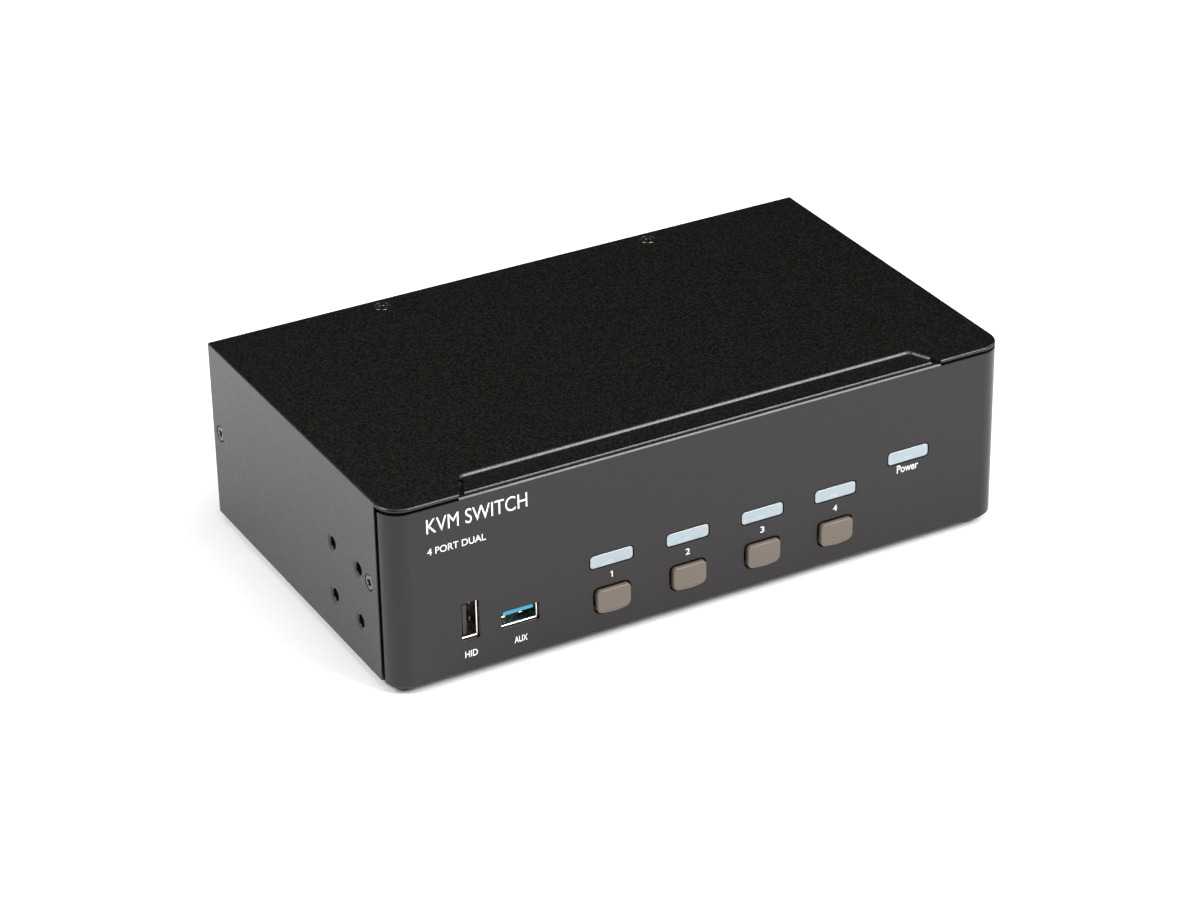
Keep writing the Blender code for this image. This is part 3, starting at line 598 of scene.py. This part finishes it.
def bezel_openings():
    cuts = []
    for i in range(1, 5):
        spot = middle(f"button_{i}")
        cuts.append(opening(grown(button_outline(spot.x, spot.z), 0.65 * MM), 0.1 * MM))
    for name in WINDOWS:
        spot = middle(name)
        cuts.append(opening(grown(window_outline(spot.x, spot.z), 0.4 * MM), 0.08 * MM))
    for name in ("hid_port_shell", "usb_port_shell"):
        cuts.append(opening(socket_outline(name, 0.25 * MM), 0.08 * MM))
    return cuts


def make_bezel():
    crest = BEZEL_HIGH.z - BEZEL_SINK
    levels = [(BEZEL_LOW.z + along, inset) for along, inset in reversed(quarter(0.55 * MM))]
    brim = [(0.66, 0.0), (0.56, 0.02), (0.09, 0.38), (0.0, 0.52)]
    levels += [(crest - along * MM, inset * MM) for along, inset in brim]
    bezel = build("bezel_shell", [([[at_z(bezel_outline(inset), z) for z, inset in levels]], BEZEL)])
    carve(bezel, bezel_openings())

    half = STEP_FRONT_HALF + 3 * MM
    rebate = box_outline(0, FRONT + 8 * MM, 2 * half, 14 * MM)
    carve(bezel, [[at_z(rebate, STEP_UNDER - GAP - BEZEL_SINK), at_z(rebate, TOP + 1 * MM)]])
    for side in (-1, 1):
        under_tab = box_outline(side * (STEP_FRONT_HALF + 31 * MM), FRONT + 8 * MM, 60 * MM, 20 * MM)
        carve(bezel, [[at_z(under_tab, crest - 0.8 * MM), at_z(under_tab, TOP + 1 * MM)]])
    shade(bezel)
    place(bezel, ["front_bezel"])


# --- buttons and windows -------------------------------------------------------------------


def button_rings():
    """A button's cap, with a wide soft lower bevel, and the guide behind it; y = 0 is the bezel's face."""
    outline = button_outline(0, 0)
    sides = normals(outline)

    def inset(amount):
        moved = []
        for point, (normal, stretch) in zip(outline, sides):
            lower = 1 + 1.9 * max(0.0, -normal.y) ** 2
            moved.append(tuple(Vector(point) - normal * amount * stretch * lower))
        return moved

    profile = [(0.66, -1.600), (0.50, -1.588), (0.37, -1.550), (0.25, -1.485), (0.15, -1.390), (0.07, -1.270)]
    profile += [(0.02, -1.100), (0.0, -0.900), (0.0, -0.050), (0.3, 0.100)]
    cap = [at_y(inset(amount * MM), y * MM) for amount, y in profile]
    shelf = BEZEL_WALL + GAP
    root, flange = grown(outline, -0.5 * MM), grown(outline, 1.2 * MM)
    stem = shrunk_to(outline, 0, 0, 4 * MM, 4 * MM)
    guide = [at_y(root, -0.3 * MM), at_y(root, shelf), at_y(flange, shelf), at_y(flange, shelf + 0.8 * MM)]
    guide += [at_y(stem, shelf + 0.8 * MM), at_y(stem, 4.4 * MM)]
    return cap, guide


def ridge():
    """A raised line across the lower part of a button's face, following its lower edge."""
    path = [(x * MM, (-2.35 + 0.014 * x * x) * MM) for x in [-4.1 + 8.2 * i / 24 for i in range(25)]]
    face = -1.60 * MM
    rings = []
    for i, (x, z) in enumerate(path):
        swell = min(1.0, 5 * min(i, 24 - i) / 24 + 0.15)
        proud, tall = 0.14 * MM * swell, 0.22 * MM * swell
        section = circle(face, z, 1, 8)
        rings.append([Vector((x, face + (u - face) * proud, z + (v - z) * tall)) for u, v in section])
    return rings


def make_buttons():
    front, guide = button_rings()
    cap = build("cap", [([front], BUTTON), ([guide], BLACK)])
    shade(cap, 50)
    line = build("line", [([ridge()], BUTTON)])
    shade(line, 60)
    spots = [Vector((middle(f"button_{i}").x, FRONT, middle(f"button_{i}").z)) for i in range(1, 5)]
    caps = copies(cap, [(f"button_{i}_cap", spot) for i, spot in enumerate(spots, 1)])
    lines = copies(line, [(f"button_{i}_ridge", spot) for i, spot in enumerate(spots, 1)])
    for i in range(1, 5):
        place(caps[i - 1], [f"button_{i}"], f"button_{i}")
        place(lines[i - 1], (), f"button_{i}")


def make_windows():
    outline = window_outline(0, 0)
    shelf = BEZEL_WALL + GAP
    profile = [(0.34, -0.040), (0.24, -0.035), (0.16, -0.020), (0.08, 0.020), (0.02, 0.080), (0.25, 0.140)]
    front = [at_y(grown(outline, -amount * MM), y * MM) for amount, y in profile]
    root, flange, pipe = grown(outline, -0.3 * MM), grown(outline, 1.2 * MM), grown(outline, -0.5 * MM)
    holder = [at_y(root, 0.08 * MM), at_y(root, shelf), at_y(flange, shelf), at_y(flange, shelf + 0.8 * MM)]
    holder += [at_y(pipe, shelf + 0.8 * MM), at_y(pipe, 7 * MM)]
    lens = build("lens", [([front], WINDOW), ([holder], BLACK)])
    shade(lens, 50)
    spots = [(f"{name}_lens", Vector((middle(name).x, FRONT, middle(name).z))) for name in WINDOWS]
    for made, name in zip(copies(lens, spots), WINDOWS):
        place(made, [name])


# --- front sockets -------------------------------------------------------------------------


def bar(low, high):
    """A loft for the box between two corners, with a slight round along its four long edges."""
    width, height = high[0] - low[0], high[2] - low[2]
    centre_x, centre_z = (low[0] + high[0]) / 2, (low[2] + high[2]) / 2
    outline = rounded_box(centre_x, centre_z, width, height, 0.2 * min(width, height), 2)
    return [at_y(outline, low[1]), at_y(outline, high[1])]


def lipped_shell(outline, wall, mouth, depth, facing=1):
    """A cup of sheet metal with a rolled lip. It goes from mouth along +Y, or along -Y if facing is -1."""
    def ring(grow, along):
        return at_y(grown(outline, grow), mouth + facing * along)

    rings = [ring(0, depth), ring(0, 0.12 * MM), ring(-0.05 * MM, 0.03 * MM), ring(-0.5 * wall, 0)]
    rings += [ring(-wall, 0.07 * MM), ring(-wall - 0.16 * MM, 0.35 * MM), ring(-wall - 0.22 * MM, 0.75 * MM)]
    rings += [ring(-wall - 0.05 * MM, 1.6 * MM), ring(-wall, depth - wall)]
    return rings


def make_front_socket(name, upright, tongue_material, rows):
    """A shell with springs, and a tongue with rows of contacts: (count, span, start, end in mm)."""
    shell_low, shell_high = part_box(f"{name}_shell")
    centre = middle(f"{name}_shell")
    mouth = shell_low.y
    depth = shell_high.y - mouth
    outline = socket_outline(f"{name}_shell")
    shell = build(f"{name}_steel", [([lipped_shell(outline, 0.4 * MM, mouth, depth)], STEEL)])
    shade(shell, 50)
    place(shell, [f"{name}_shell"])

    def turned(x, z):
        """Offsets for a flat socket with its tongue above the middle, turned where the socket is upright."""
        return (centre.x - z, centre.z + x) if upright else (centre.x + x, centre.z + z)

    def slab(x0, x1, z0, z1, y0, y1):
        a, b = turned(x0, z0), turned(x1, z1)
        low = (min(a[0], b[0]), mouth + y0, min(a[1], b[1]))
        high = (max(a[0], b[0]), mouth + y1, max(a[1], b[1]))
        return bar(low, high)

    half, top, under = 5.6 * MM, 2.05 * MM, 0.75 * MM
    back = depth - 0.4 * MM - GAP
    tongue = [slab(-half, half, under, top, 0.6 * MM, back - 4 * MM)]
    block = [slab(-6.3 * MM, 6.3 * MM, -2.5 * MM, 2.5 * MM, back - 4 * MM, back)]
    contacts = []
    for count, span, start, end in rows:
        for i in range(count):
            x = span * (i / (count - 1) - 0.5)
            contacts.append(slab(x - 0.5 * MM, x + 0.5 * MM, under - 0.12 * MM, under + 0.1 * MM,
                                 start * MM, end * MM))
    insert = build(f"{name}_insert", [(tongue, tongue_material), (block, BLACK), (contacts, GOLD)])
    shade(insert, 40)
    place(insert, [f"{name}_tongue"])

    springs = []
    for x in (-3.2 * MM, 3.2 * MM):
        springs.append(slab(x - 0.6 * MM, x + 0.6 * MM, -2.75 * MM, -2.50 * MM, 5.2 * MM, 8.4 * MM))
    leaves = build(f"{name}_springs", [(springs, STEEL)])
    shade(leaves, 40)
    place(leaves)


# --- screws and feet -----------------------------------------------------------------------


def screw_mesh():
    """A countersunk cross-head screw along +Z, with the sheet's face at z = 0."""
    profile = [(0.05, 1.90), (0.05, 2.30), (0.10, 2.48), (0.22, 2.55), (1.30, 1.45), (1.9, 1.30), (6.0, 1.30)]
    rings = [at_z(circle(0, 0, radius * MM, 48), -depth * MM) for depth, radius in profile]
    thread = []
    for i in range(8):
        for radius, shift in ((1.30, 0.0), (1.45, 0.22), (1.30, 0.44)):
            thread.append(at_z(circle(0, 0, radius * MM, 48), -(1.95 + 0.5 * i + shift) * MM))
    rings = rings[:6] + thread + rings[6:]
    screw = build("screw", [([rings], SCREW)])
    wings = []
    for turn in (0, 90):
        spin = Matrix.Rotation(math.radians(turn), 3, "Z")
        wide, narrow = box_outline(0, 0, 3.2 * MM, 1.20 * MM), box_outline(0, 0, 1.9 * MM, 0.80 * MM)
        wings.append([[spin @ p for p in at_z(wide, 0.1 * MM)], [spin @ p for p in at_z(narrow, -1.8 * MM)]])
    for wing in wings:
        carve(screw, [wing])
    dish = [(-0.2, 1.35), (0.1, 1.12), (0.42, 0.5)]
    carve(screw, [[at_z(circle(0, 0, radius * MM, 32), -depth * MM) for depth, radius in dish]])
    # Faces deeper than 0.25 mm within 1.7 mm of the axis (the cross recess and the hidden shank) take the
    # black moulding finish: painted shade in the recess.
    screw.data.materials.append(BLACK)
    for face in screw.data.polygons:
        spot = face.center
        face.material_index = int(spot.z < -0.25 * MM and math.hypot(spot.x, spot.y) < 1.7 * MM)
    shade(screw, 35)
    return screw


def make_screws():
    screw = screw_mesh()
    turns = {"top": Matrix.Identity(4), "left": Matrix.Rotation(-math.pi / 2, 4, "Y"),
             "right": Matrix.Rotation(math.pi / 2, 4, "Y")}
    spots = []
    for side, word in ((-1, "left"), (1, "right")):
        spot = middle(f"top_screw_{word}")
        spots.append((f"top_screw_{word}", Vector((spot.x, spot.y, TOP)), "top", 20 + 35 * side))
        for end, turn in (("front", 12), ("rear", 38)):
            spot = middle(f"side_screw_{word}_{end}")
            seat = Vector((side * HALF, spot.y, spot.z))
            spots.append((f"side_screw_{word}_{end}", seat, word, turn * side))
    made = copies(screw, [(f"{name}_head", (0, 0, 0)) for name, *_ in spots])
    for obj, (name, spot, facing, turn) in zip(made, spots):
        spin = Matrix.Rotation(math.radians(turn), 4, "Z")
        obj.matrix_world = Matrix.Translation(spot) @ turns[facing] @ spin
        place(obj, [name])


def make_feet():
    profile = [(0.0, 4.6), (0.0, 5.1), (0.08, 5.35), (0.25, 5.55), (0.6, 5.75), (1.2, 5.92)]
    profile += [(1.62, 6.0), (1.7, 6.0)]
    rings = [at_z(circle(0, 0, radius * MM, 48), height * MM) for height, radius in profile]
    foot = build("foot", [([rings], RUBBER)])
    dimple = [(-0.2, 3.3), (0.0, 3.1), (0.25, 2.8), (0.42, 2.2)]
    carve(foot, [[at_z(circle(0, 0, radius * MM, 40), height * MM) for height, radius in dimple]])
    shade(foot, 50)
    names = [f"foot_{end}_{side}" for end in ("front", "back") for side in ("left", "right")]
    spots = [(f"{name}_pad", Vector((middle(name).x, middle(name).y, 0))) for name in names]
    for made, name in zip(copies(foot, spots), names):
        place(made, [name])


# --- rear panel ----------------------------------------------------------------------------


def video_outline(x, z):
    half_w, half_h = 7.5 * MM, 3.1 * MM
    corners = [(-half_w, half_h, 0.5), (-half_w, -0.2 * half_h, 0.5), (-0.76 * half_w, -half_h, 0.6)]
    corners += [(0.76 * half_w, -half_h, 0.6), (half_w, -0.2 * half_h, 0.5), (half_w, half_h, 0.5)]
    return rounded([(x + u, z + v, radius * MM) for u, v, radius in corners], 4)


def port_b_outline(x, z):
    half_w, half_h = 6.0 * MM, 5.5 * MM
    corners = [(-half_w, -half_h, 0.5), (half_w, -half_h, 0.5), (half_w, 0.6 * half_h, 0.5)]
    corners += [(0.7 * half_w, half_h, 0.5), (-0.7 * half_w, half_h, 0.5), (-half_w, 0.6 * half_h, 0.5)]
    return rounded([(x + u, z + v, radius * MM) for u, v, radius in corners], 4)


GROUP_START, GROUP_PITCH = -92 * MM, 42 * MM
AUDIO_HALF_PITCH = 5 * MM
PORT_PROUD = 0.6 * MM
PANEL_SHEET = 0.8 * MM
SLOT_COUNT, SLOT_PITCH = 24, 8 * MM


def rear_sheet():
    """The upright sheet and its ledge at the top, with a bend between them."""
    low, high = PANEL_LOW, PANEL_HIGH
    sheet, ledge, bend = PANEL_SHEET, high.y - low.y, 0.7 * MM
    profile = [(REAR, low.z)]
    profile += [(REAR - bend + bend * math.cos(a), high.z - bend + bend * math.sin(a))
                for a in [math.pi / 2 * i / 6 for i in range(7)]]
    profile += [(REAR - ledge, high.z), (REAR - ledge, high.z - sheet)]
    profile += [(REAR - sheet, high.z - sheet), (REAR - sheet, low.z)]
    reach = HALF - SKIN + 0.05 * MM
    return build("rear_sheet", [([[at_x(profile, -reach), at_x(profile, reach)]], CHASSIS)])


def through(outline):
    """A cutter through the rear sheet with a small bevel at the outer face."""
    steps = [(-2 * MM, 0), (0.06 * MM - PANEL_SHEET, 0), (-0.12 * MM, 0), (0.02 * MM, 0.12 * MM)]
    steps.append((0.6 * MM, 0.5 * MM))
    return [at_y(grown(outline, out), REAR + along) for along, out in steps]


def rear_openings():
    cuts = []
    for i in range(1, 11):
        spot = middle(f"video_port_{i}")
        cuts.append(through(grown(video_outline(spot.x, spot.z), GAP)))
    for i in range(1, 5):
        spot = middle(f"computer_port_{i}")
        cuts.append(through(grown(port_b_outline(spot.x, spot.z), GAP)))
    for i in range(1, 6):
        spot = middle(f"audio_jacks_{i}")
        for side in (-AUDIO_HALF_PITCH, AUDIO_HALF_PITCH):
            cuts.append(through(circle(spot.x + side, spot.z, 3.3 * MM)))
    for name in ("console_ports", "power_jack"):
        a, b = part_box(name)
        spot, size = (a + b) / 2, b - a
        cuts.append(through(rounded_box(spot.x, spot.z, size.x + 2 * GAP, size.z + 2 * GAP, GAP)))
    for i in range(SLOT_COUNT):
        x = (i - (SLOT_COUNT - 1) / 2) * SLOT_PITCH
        cuts.append(through(rounded_box(x, DATUM + 53.5 * MM, 2.4 * MM, 9 * MM, 1.15 * MM)))
    return cuts


def make_rear_panel():
    panel = rear_sheet()
    carve(panel, rear_openings())
    levels = (PANEL_HIGH.z - 2 * MM, PANEL_HIGH.z + 2 * MM)
    holes = []
    for word in ("left", "right"):
        spot = middle(f"top_screw_{word}")
        holes.append([at_z(circle(spot.x, spot.y, 1.8 * MM), z) for z in levels])
    carve(panel, holes)
    shade(panel)
    place(panel, ["rear_panel"])


def shared(name, groups, nodes, suffix, replacing, angle=45):
    """One mesh, modelled about a node's middle on the rear face, and used for all the nodes."""
    obj = build(name, groups)
    shade(obj, angle)
    spots = [(f"{node}_{suffix}", Vector((middle(node).x, REAR, middle(node).z))) for node in nodes]
    for made, node in zip(copies(obj, spots), nodes):
        place(made, [node] if replacing else ())


def contact_row(count, pitch, z, thick, y_from, y_to, width=0.34 * MM):
    spots = [pitch * (i - (count - 1) / 2) for i in range(count)]
    return [bar((x - width / 2, y_from, z - thick / 2), (x + width / 2, y_to, z + thick / 2)) for x in spots]


def make_video_ports():
    video = [f"video_port_{i}" for i in range(1, 11)]
    shell = lipped_shell(video_outline(0, 0), 0.35 * MM, PORT_PROUD, 12 * MM, -1)
    shared("video_shell", [([shell], STEEL)], video, "shell", True)
    tongue = [bar((-5.6 * MM, -9 * MM, -0.75 * MM), (5.6 * MM, -0.9 * MM, 0.75 * MM))]
    tongue.append(bar((-6.2 * MM, -11.2 * MM, -1.9 * MM), (6.2 * MM, -9 * MM, 1.9 * MM)))
    contacts = contact_row(10, 1.0 * MM, 0.78 * MM, 0.14 * MM, -8.5 * MM, -1.3 * MM)
    contacts += contact_row(9, 1.0 * MM, -0.78 * MM, 0.14 * MM, -8.5 * MM, -1.3 * MM)
    shared("video_insert", [(tongue, BLACK), (contacts, GOLD)], video, "insert", False, 35)


def make_computer_ports():
    computer = [f"computer_port_{i}" for i in range(1, 5)]
    shell = lipped_shell(port_b_outline(0, 0), 0.4 * MM, PORT_PROUD, 16 * MM, -1)
    shared("computer_shell", [([shell], STEEL)], computer, "shell", True)
    outer, inner = grown(port_b_outline(0, 0), -0.75 * MM), grown(port_b_outline(0, 0), -1.75 * MM)
    collar = [at_y(outer, -15 * MM), at_y(outer, -0.5 * MM), at_y(inner, -0.6 * MM), at_y(inner, -13 * MM)]
    block = [bar((-2.8 * MM, -14 * MM, -1.6 * MM), (2.8 * MM, -0.9 * MM, 1.6 * MM))]
    contacts = contact_row(2, 2.5 * MM, 1.62 * MM, 0.16 * MM, -9 * MM, -1.4 * MM, 0.9 * MM)
    contacts += contact_row(2, 2.5 * MM, -1.62 * MM, 0.16 * MM, -9 * MM, -1.4 * MM, 0.9 * MM)
    insert = [([collar] + block, BLACK), (contacts, GOLD)]
    shared("computer_insert", insert, computer, "insert", False, 35)


def audio_barrel(x, z):
    """A collar with a rounded rim, and the metal liner in its mouth."""
    steps = [(-1.1, 3.0), (1.25, 3.0), (1.5, 2.85), (1.6, 2.6), (1.6, 2.05), (1.45, 1.85)]
    steps += [(1.2, 1.8), (-1.0, 1.8)]
    collar = [at_y(circle(x, z, radius * MM, 40), REAR + along * MM) for along, radius in steps]
    sleeve = [(-1.05, 1.75), (0.4, 1.75), (0.45, 1.6), (0.4, 1.5), (-0.9, 1.5)]
    liner = [at_y(circle(x, z, radius * MM, 32), REAR + along * MM) for along, radius in sleeve]
    return collar, liner


def make_audio_jacks():
    for i in range(1, 6):
        name = f"audio_jacks_{i}"
        low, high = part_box(name)
        spot = middle(name)
        body = bar((low.x, low.y, low.z), (high.x, REAR - 1.1 * MM, high.z))
        housing = build(f"{name}_housing", [([body], BLACK)])
        shade(housing)
        place(housing, [name])
        for side, colour, word in ((-AUDIO_HALF_PITCH, PINK, "in"), (AUDIO_HALF_PITCH, GREEN, "out")):
            collar, liner = audio_barrel(spot.x + side, spot.z)
            barrel = build(f"{name}_{word}", [([collar], colour), ([liner], STEEL)])
            shade(barrel, 40)
            place(barrel)


def make_console():
    low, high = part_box("console_ports")
    centre = middle("console_ports")
    outline = rounded_box(centre.x, centre.z, high.x - low.x, high.z - low.z, 0.5 * MM, 4)
    mouth = high.y
    frame_rings = [at_y(grown(outline, grow), mouth - along) for grow, along in
                   ((0, 15.6 * MM), (0, 0.15 * MM), (-0.05 * MM, 0.04 * MM), (-0.18 * MM, 0))]
    stack = build("console_steel", [([frame_rings], STEEL)])
    tongues, contacts = [], []
    for level in (-3.9 * MM, 3.9 * MM):
        z = centre.z + level
        bay = rounded_box(centre.x, z, 12.6 * MM, 5.1 * MM, 0.4 * MM, 4)
        steps = [(-1, 1.3), (0, 0.3), (0.12, 0.12), (0.4, 0.0), (12.5, 0.0)]
        carve(stack, [[at_y(grown(bay, out * MM), mouth - along * MM) for along, out in steps]])
        y_back, y_front = mouth - 12.4 * MM, mouth - 1.6 * MM
        left, right = centre.x - 5.6 * MM, centre.x + 5.6 * MM
        tongues.append(bar((left, y_back, z + 0.4 * MM), (right, y_front, z + 2.1 * MM)))
        for i in range(4):
            x = centre.x + (i - 1.5) * 2.3 * MM
            contacts.append(bar((x - 0.5 * MM, y_back, z + 0.28 * MM),
                                (x + 0.5 * MM, y_front - 0.6 * MM, z + 0.5 * MM)))
    shade(stack, 40)
    place(stack, ["console_ports"])
    insert = build("console_insert", [(tongues, BLACK), (contacts, GOLD)])
    shade(insert, 35)
    place(insert)


def make_power_jack():
    low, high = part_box("power_jack")
    centre = middle("power_jack")
    outline = rounded_box(centre.x, centre.z, high.x - low.x, high.z - low.z, 0.6 * MM, 4)
    mouth = high.y
    steps = [(0, 13.6), (0, 0.3), (-0.08, 0.09), (-0.3, 0)]
    shell = [at_y(grown(outline, out * MM), mouth - along * MM) for out, along in steps]
    jack = build("power_jack_body", [([shell], BLACK)])
    bore = [(-1, 4.4), (0, 3.4), (0.2, 3.25), (0.5, 3.2), (10.6, 3.2)]
    hole = [at_y(circle(centre.x, centre.z, radius * MM, 48), mouth - along * MM) for along, radius in bore]
    carve(jack, [hole])
    shade(jack, 40)
    place(jack, ["power_jack"])
    pin = [(10.5, 1.0), (1.9, 1.0), (1.7, 0.92), (1.6, 0.7)]
    rod = [at_y(circle(centre.x, centre.z, radius * MM, 24), mouth - along * MM) for along, radius in pin]
    post = build("power_jack_pin", [([rod], STEEL)])
    shade(post, 40)
    place(post)


# --- printing ------------------------------------------------------------------------------


FACES = {-1: FRONT, 1: REAR}


def label(name, words, left, right, low, high, weight=0.004, facing=-1):
    """Raised ink: the words' own mesh, fitted between left and right and between low and high."""
    curve = bpy.data.curves.new(name, "FONT")
    curve.body = words
    curve.extrude = 0.5
    curve.offset = weight
    text = bpy.data.objects.new(name, curve)
    bpy.context.scene.collection.objects.link(text)
    graph = bpy.context.evaluated_depsgraph_get()
    mesh = bpy.data.meshes.new_from_object(text.evaluated_get(graph), depsgraph=graph)
    bpy.data.objects.remove(text)
    points = [v.co.copy() for v in mesh.vertices]
    x0, x1 = min(p.x for p in points), max(p.x for p in points)
    z0, z1 = min(p.y for p in points), max(p.y for p in points)
    thick, face = 0.02 * MM, FACES[facing]
    for vertex, point in zip(mesh.vertices, points):
        u = (point.x - x0) / (x1 - x0)
        if facing > 0:
            u = 1 - u
        out = thick if point.z > 0 else -thick
        tall = (high - low) * (point.y - z0) / (z1 - z0)
        vertex.co = (left + (right - left) * u, face + facing * out, low + tall)
    if facing > 0:
        mesh.flip_normals()
    mesh.materials.clear()
    mesh.materials.append(INK)
    obj = bpy.data.objects.new(name, mesh)
    bpy.context.scene.collection.objects.link(obj)
    place(obj)


def figure_one(name, x, low, high, facing=-1):
    """The figure 1 with a flag, which the built-in font draws as a plain bar."""
    shape = [(0.05, 0), (0.05, 1), (-0.07, 1), (-0.26, 0.84), (-0.26, 0.66), (-0.09, 0.77), (-0.09, 0)]
    tall = high - low
    outline = [(x - facing * (u + 0.08) * tall, low + v * tall) for u, v in shape]
    sides = [at_y(outline, FACES[facing] + depth) for depth in (-0.02 * MM, 0.02 * MM)]
    place(build(name, [([sides], INK)]))


# name, words, left, right, low, high in millimetres, and weight
PRINTED = [
    ("label_maker", "KVM SWITCH", -104.0, -67.6, 55.3, 60.6, -0.002),
    ("label_type", "4 PORT DUAL", -104.0, -83.0, 47.4, 49.9, 0.004),
    ("label_upright_port", "HID", -91.9, -87.3, 5.3, 7.7, 0.008),
    ("label_flat_port", "AUX", -73.7, -68.9, 5.3, 7.7, 0.008),
    ("label_power", "Power", 75.2, 83.8, 27.2, 30.2, 0.004),
]


def make_labels():
    for name, words, left, right, low, high, weight in PRINTED:
        label(name, words, left * MM, right * MM, DATUM + low * MM, DATUM + high * MM, weight)
    low, high = DATUM + 19.7 * MM, DATUM + 22.0 * MM
    figure_one("label_channel_1", middle("indicator_1").x, low, high)
    for i in range(2, 5):
        x = middle(f"indicator_{i}").x
        label(f"label_channel_{i}", str(i), x - 0.8 * MM, x + 0.8 * MM, low, high, 0.006)
    low, high = DATUM + 43.6 * MM, DATUM + 46.0 * MM
    for i in range(5):
        name, x = f"label_rear_{i}", GROUP_START + i * GROUP_PITCH
        if i == 1:
            figure_one(name, x, low, high, 1)
        else:
            half = 0.8 * MM if i else 7 * MM
            label(name, str(i) if i else "CONSOLE", x - half, x + half, low, high, facing=1)


# --- studio --------------------------------------------------------------------------------


def area_light(name, spot, target, size, radiance):
    lamp = bpy.data.lights.new(name, "AREA")
    lamp.shape = "RECTANGLE"
    lamp.size, lamp.size_y = size
    lamp.energy = radiance * math.pi * size[0] * size[1]
    obj = bpy.data.objects.new(name, lamp)
    obj.location = spot
    obj.rotation_euler = (Vector(target) - Vector(spot)).to_track_quat("-Z", "Y").to_euler()
    bpy.context.scene.collection.objects.link(obj)


def make_studio():
    mesh = bpy.data.meshes.new("floor")
    half = 1.1
    plan = [(-half, -half, 0), (half, -half, 0), (half, half, 0), (-half, half, 0)]
    mesh.from_pydata(plan, [], [(0, 1, 2, 3)])
    mesh.materials.append(FLOOR)
    floor = bpy.data.objects.new("studio_floor", mesh)
    floor.location.z = -0.0001
    bpy.context.scene.collection.objects.link(floor)

    area_light("light_main", (0.10, -0.45, 1.45), (0, 0, 0), (1.1, 0.9), 4.6)
    area_light("light_front", (0.72, -1.12, 1.08), (0, 0, 0), (0.72, 0.72), 22.0)
    area_light("light_left", (-1.20, 0.35, 1.05), (-0.25, 0.10, 0), (0.9, 0.9), 11.6)
    area_light("light_back", (-0.10, 0.75, 1.35), (0, 0, 0), (0.9, 0.6), 0.7)
    area_light("light_right", (1.40, -0.10, 1.10), (0.2, 0, 0), (0.8, 0.8), 3.2)


def background(tree, strength):
    node = tree.nodes.new("ShaderNodeBackground")
    node.inputs["Color"].default_value = (1, 1, 1, 1)
    node.inputs["Strength"].default_value = strength
    return node


def make_world():
    """White behind the object, and next to no light from it."""
    world = bpy.data.worlds.new("studio")
    bpy.context.scene.world = world
    world.use_nodes = True
    tree = world.node_tree
    tree.nodes.clear()
    seen, lit = background(tree, 1.0), background(tree, 0.015)
    path, mix = tree.nodes.new("ShaderNodeLightPath"), tree.nodes.new("ShaderNodeMixShader")
    output = tree.nodes.new("ShaderNodeOutputWorld")
    tree.links.new(path.outputs["Is Camera Ray"], mix.inputs["Fac"])
    tree.links.new(lit.outputs["Background"], mix.inputs[1])
    tree.links.new(seen.outputs["Background"], mix.inputs[2])
    tree.links.new(mix.outputs["Shader"], output.inputs["Surface"])


def make_camera():
    data = bpy.data.cameras.new("camera")
    data.sensor_width = 36
    data.lens = 108.857
    data.clip_start, data.clip_end = 0.05, 50
    camera = bpy.data.objects.new("camera", data)
    camera.location = (-0.534424, -0.978358, 0.633599)
    camera.rotation_euler = [math.radians(a) for a in (61.4702, 0.8607, -29.0003)]
    bpy.context.scene.collection.objects.link(camera)
    bpy.context.scene.camera = camera


make_camera()
make_cover()
make_bezel()
make_buttons()
make_windows()
make_front_socket("hid_port", True, BLACK, [(4, 7.0 * MM, 1.5, 8.5)])
make_front_socket("usb_port", False, BLUE, [(4, 7.0 * MM, 1.5, 6.0), (5, 8.0 * MM, 7.0, 9.0)])
make_screws()
make_feet()
make_rear_panel()
make_video_ports()
make_computer_ports()
make_audio_jacks()
make_console()
make_power_jack()
make_labels()
make_studio()
make_world()
bpy.context.scene.view_settings.view_transform = "Standard"
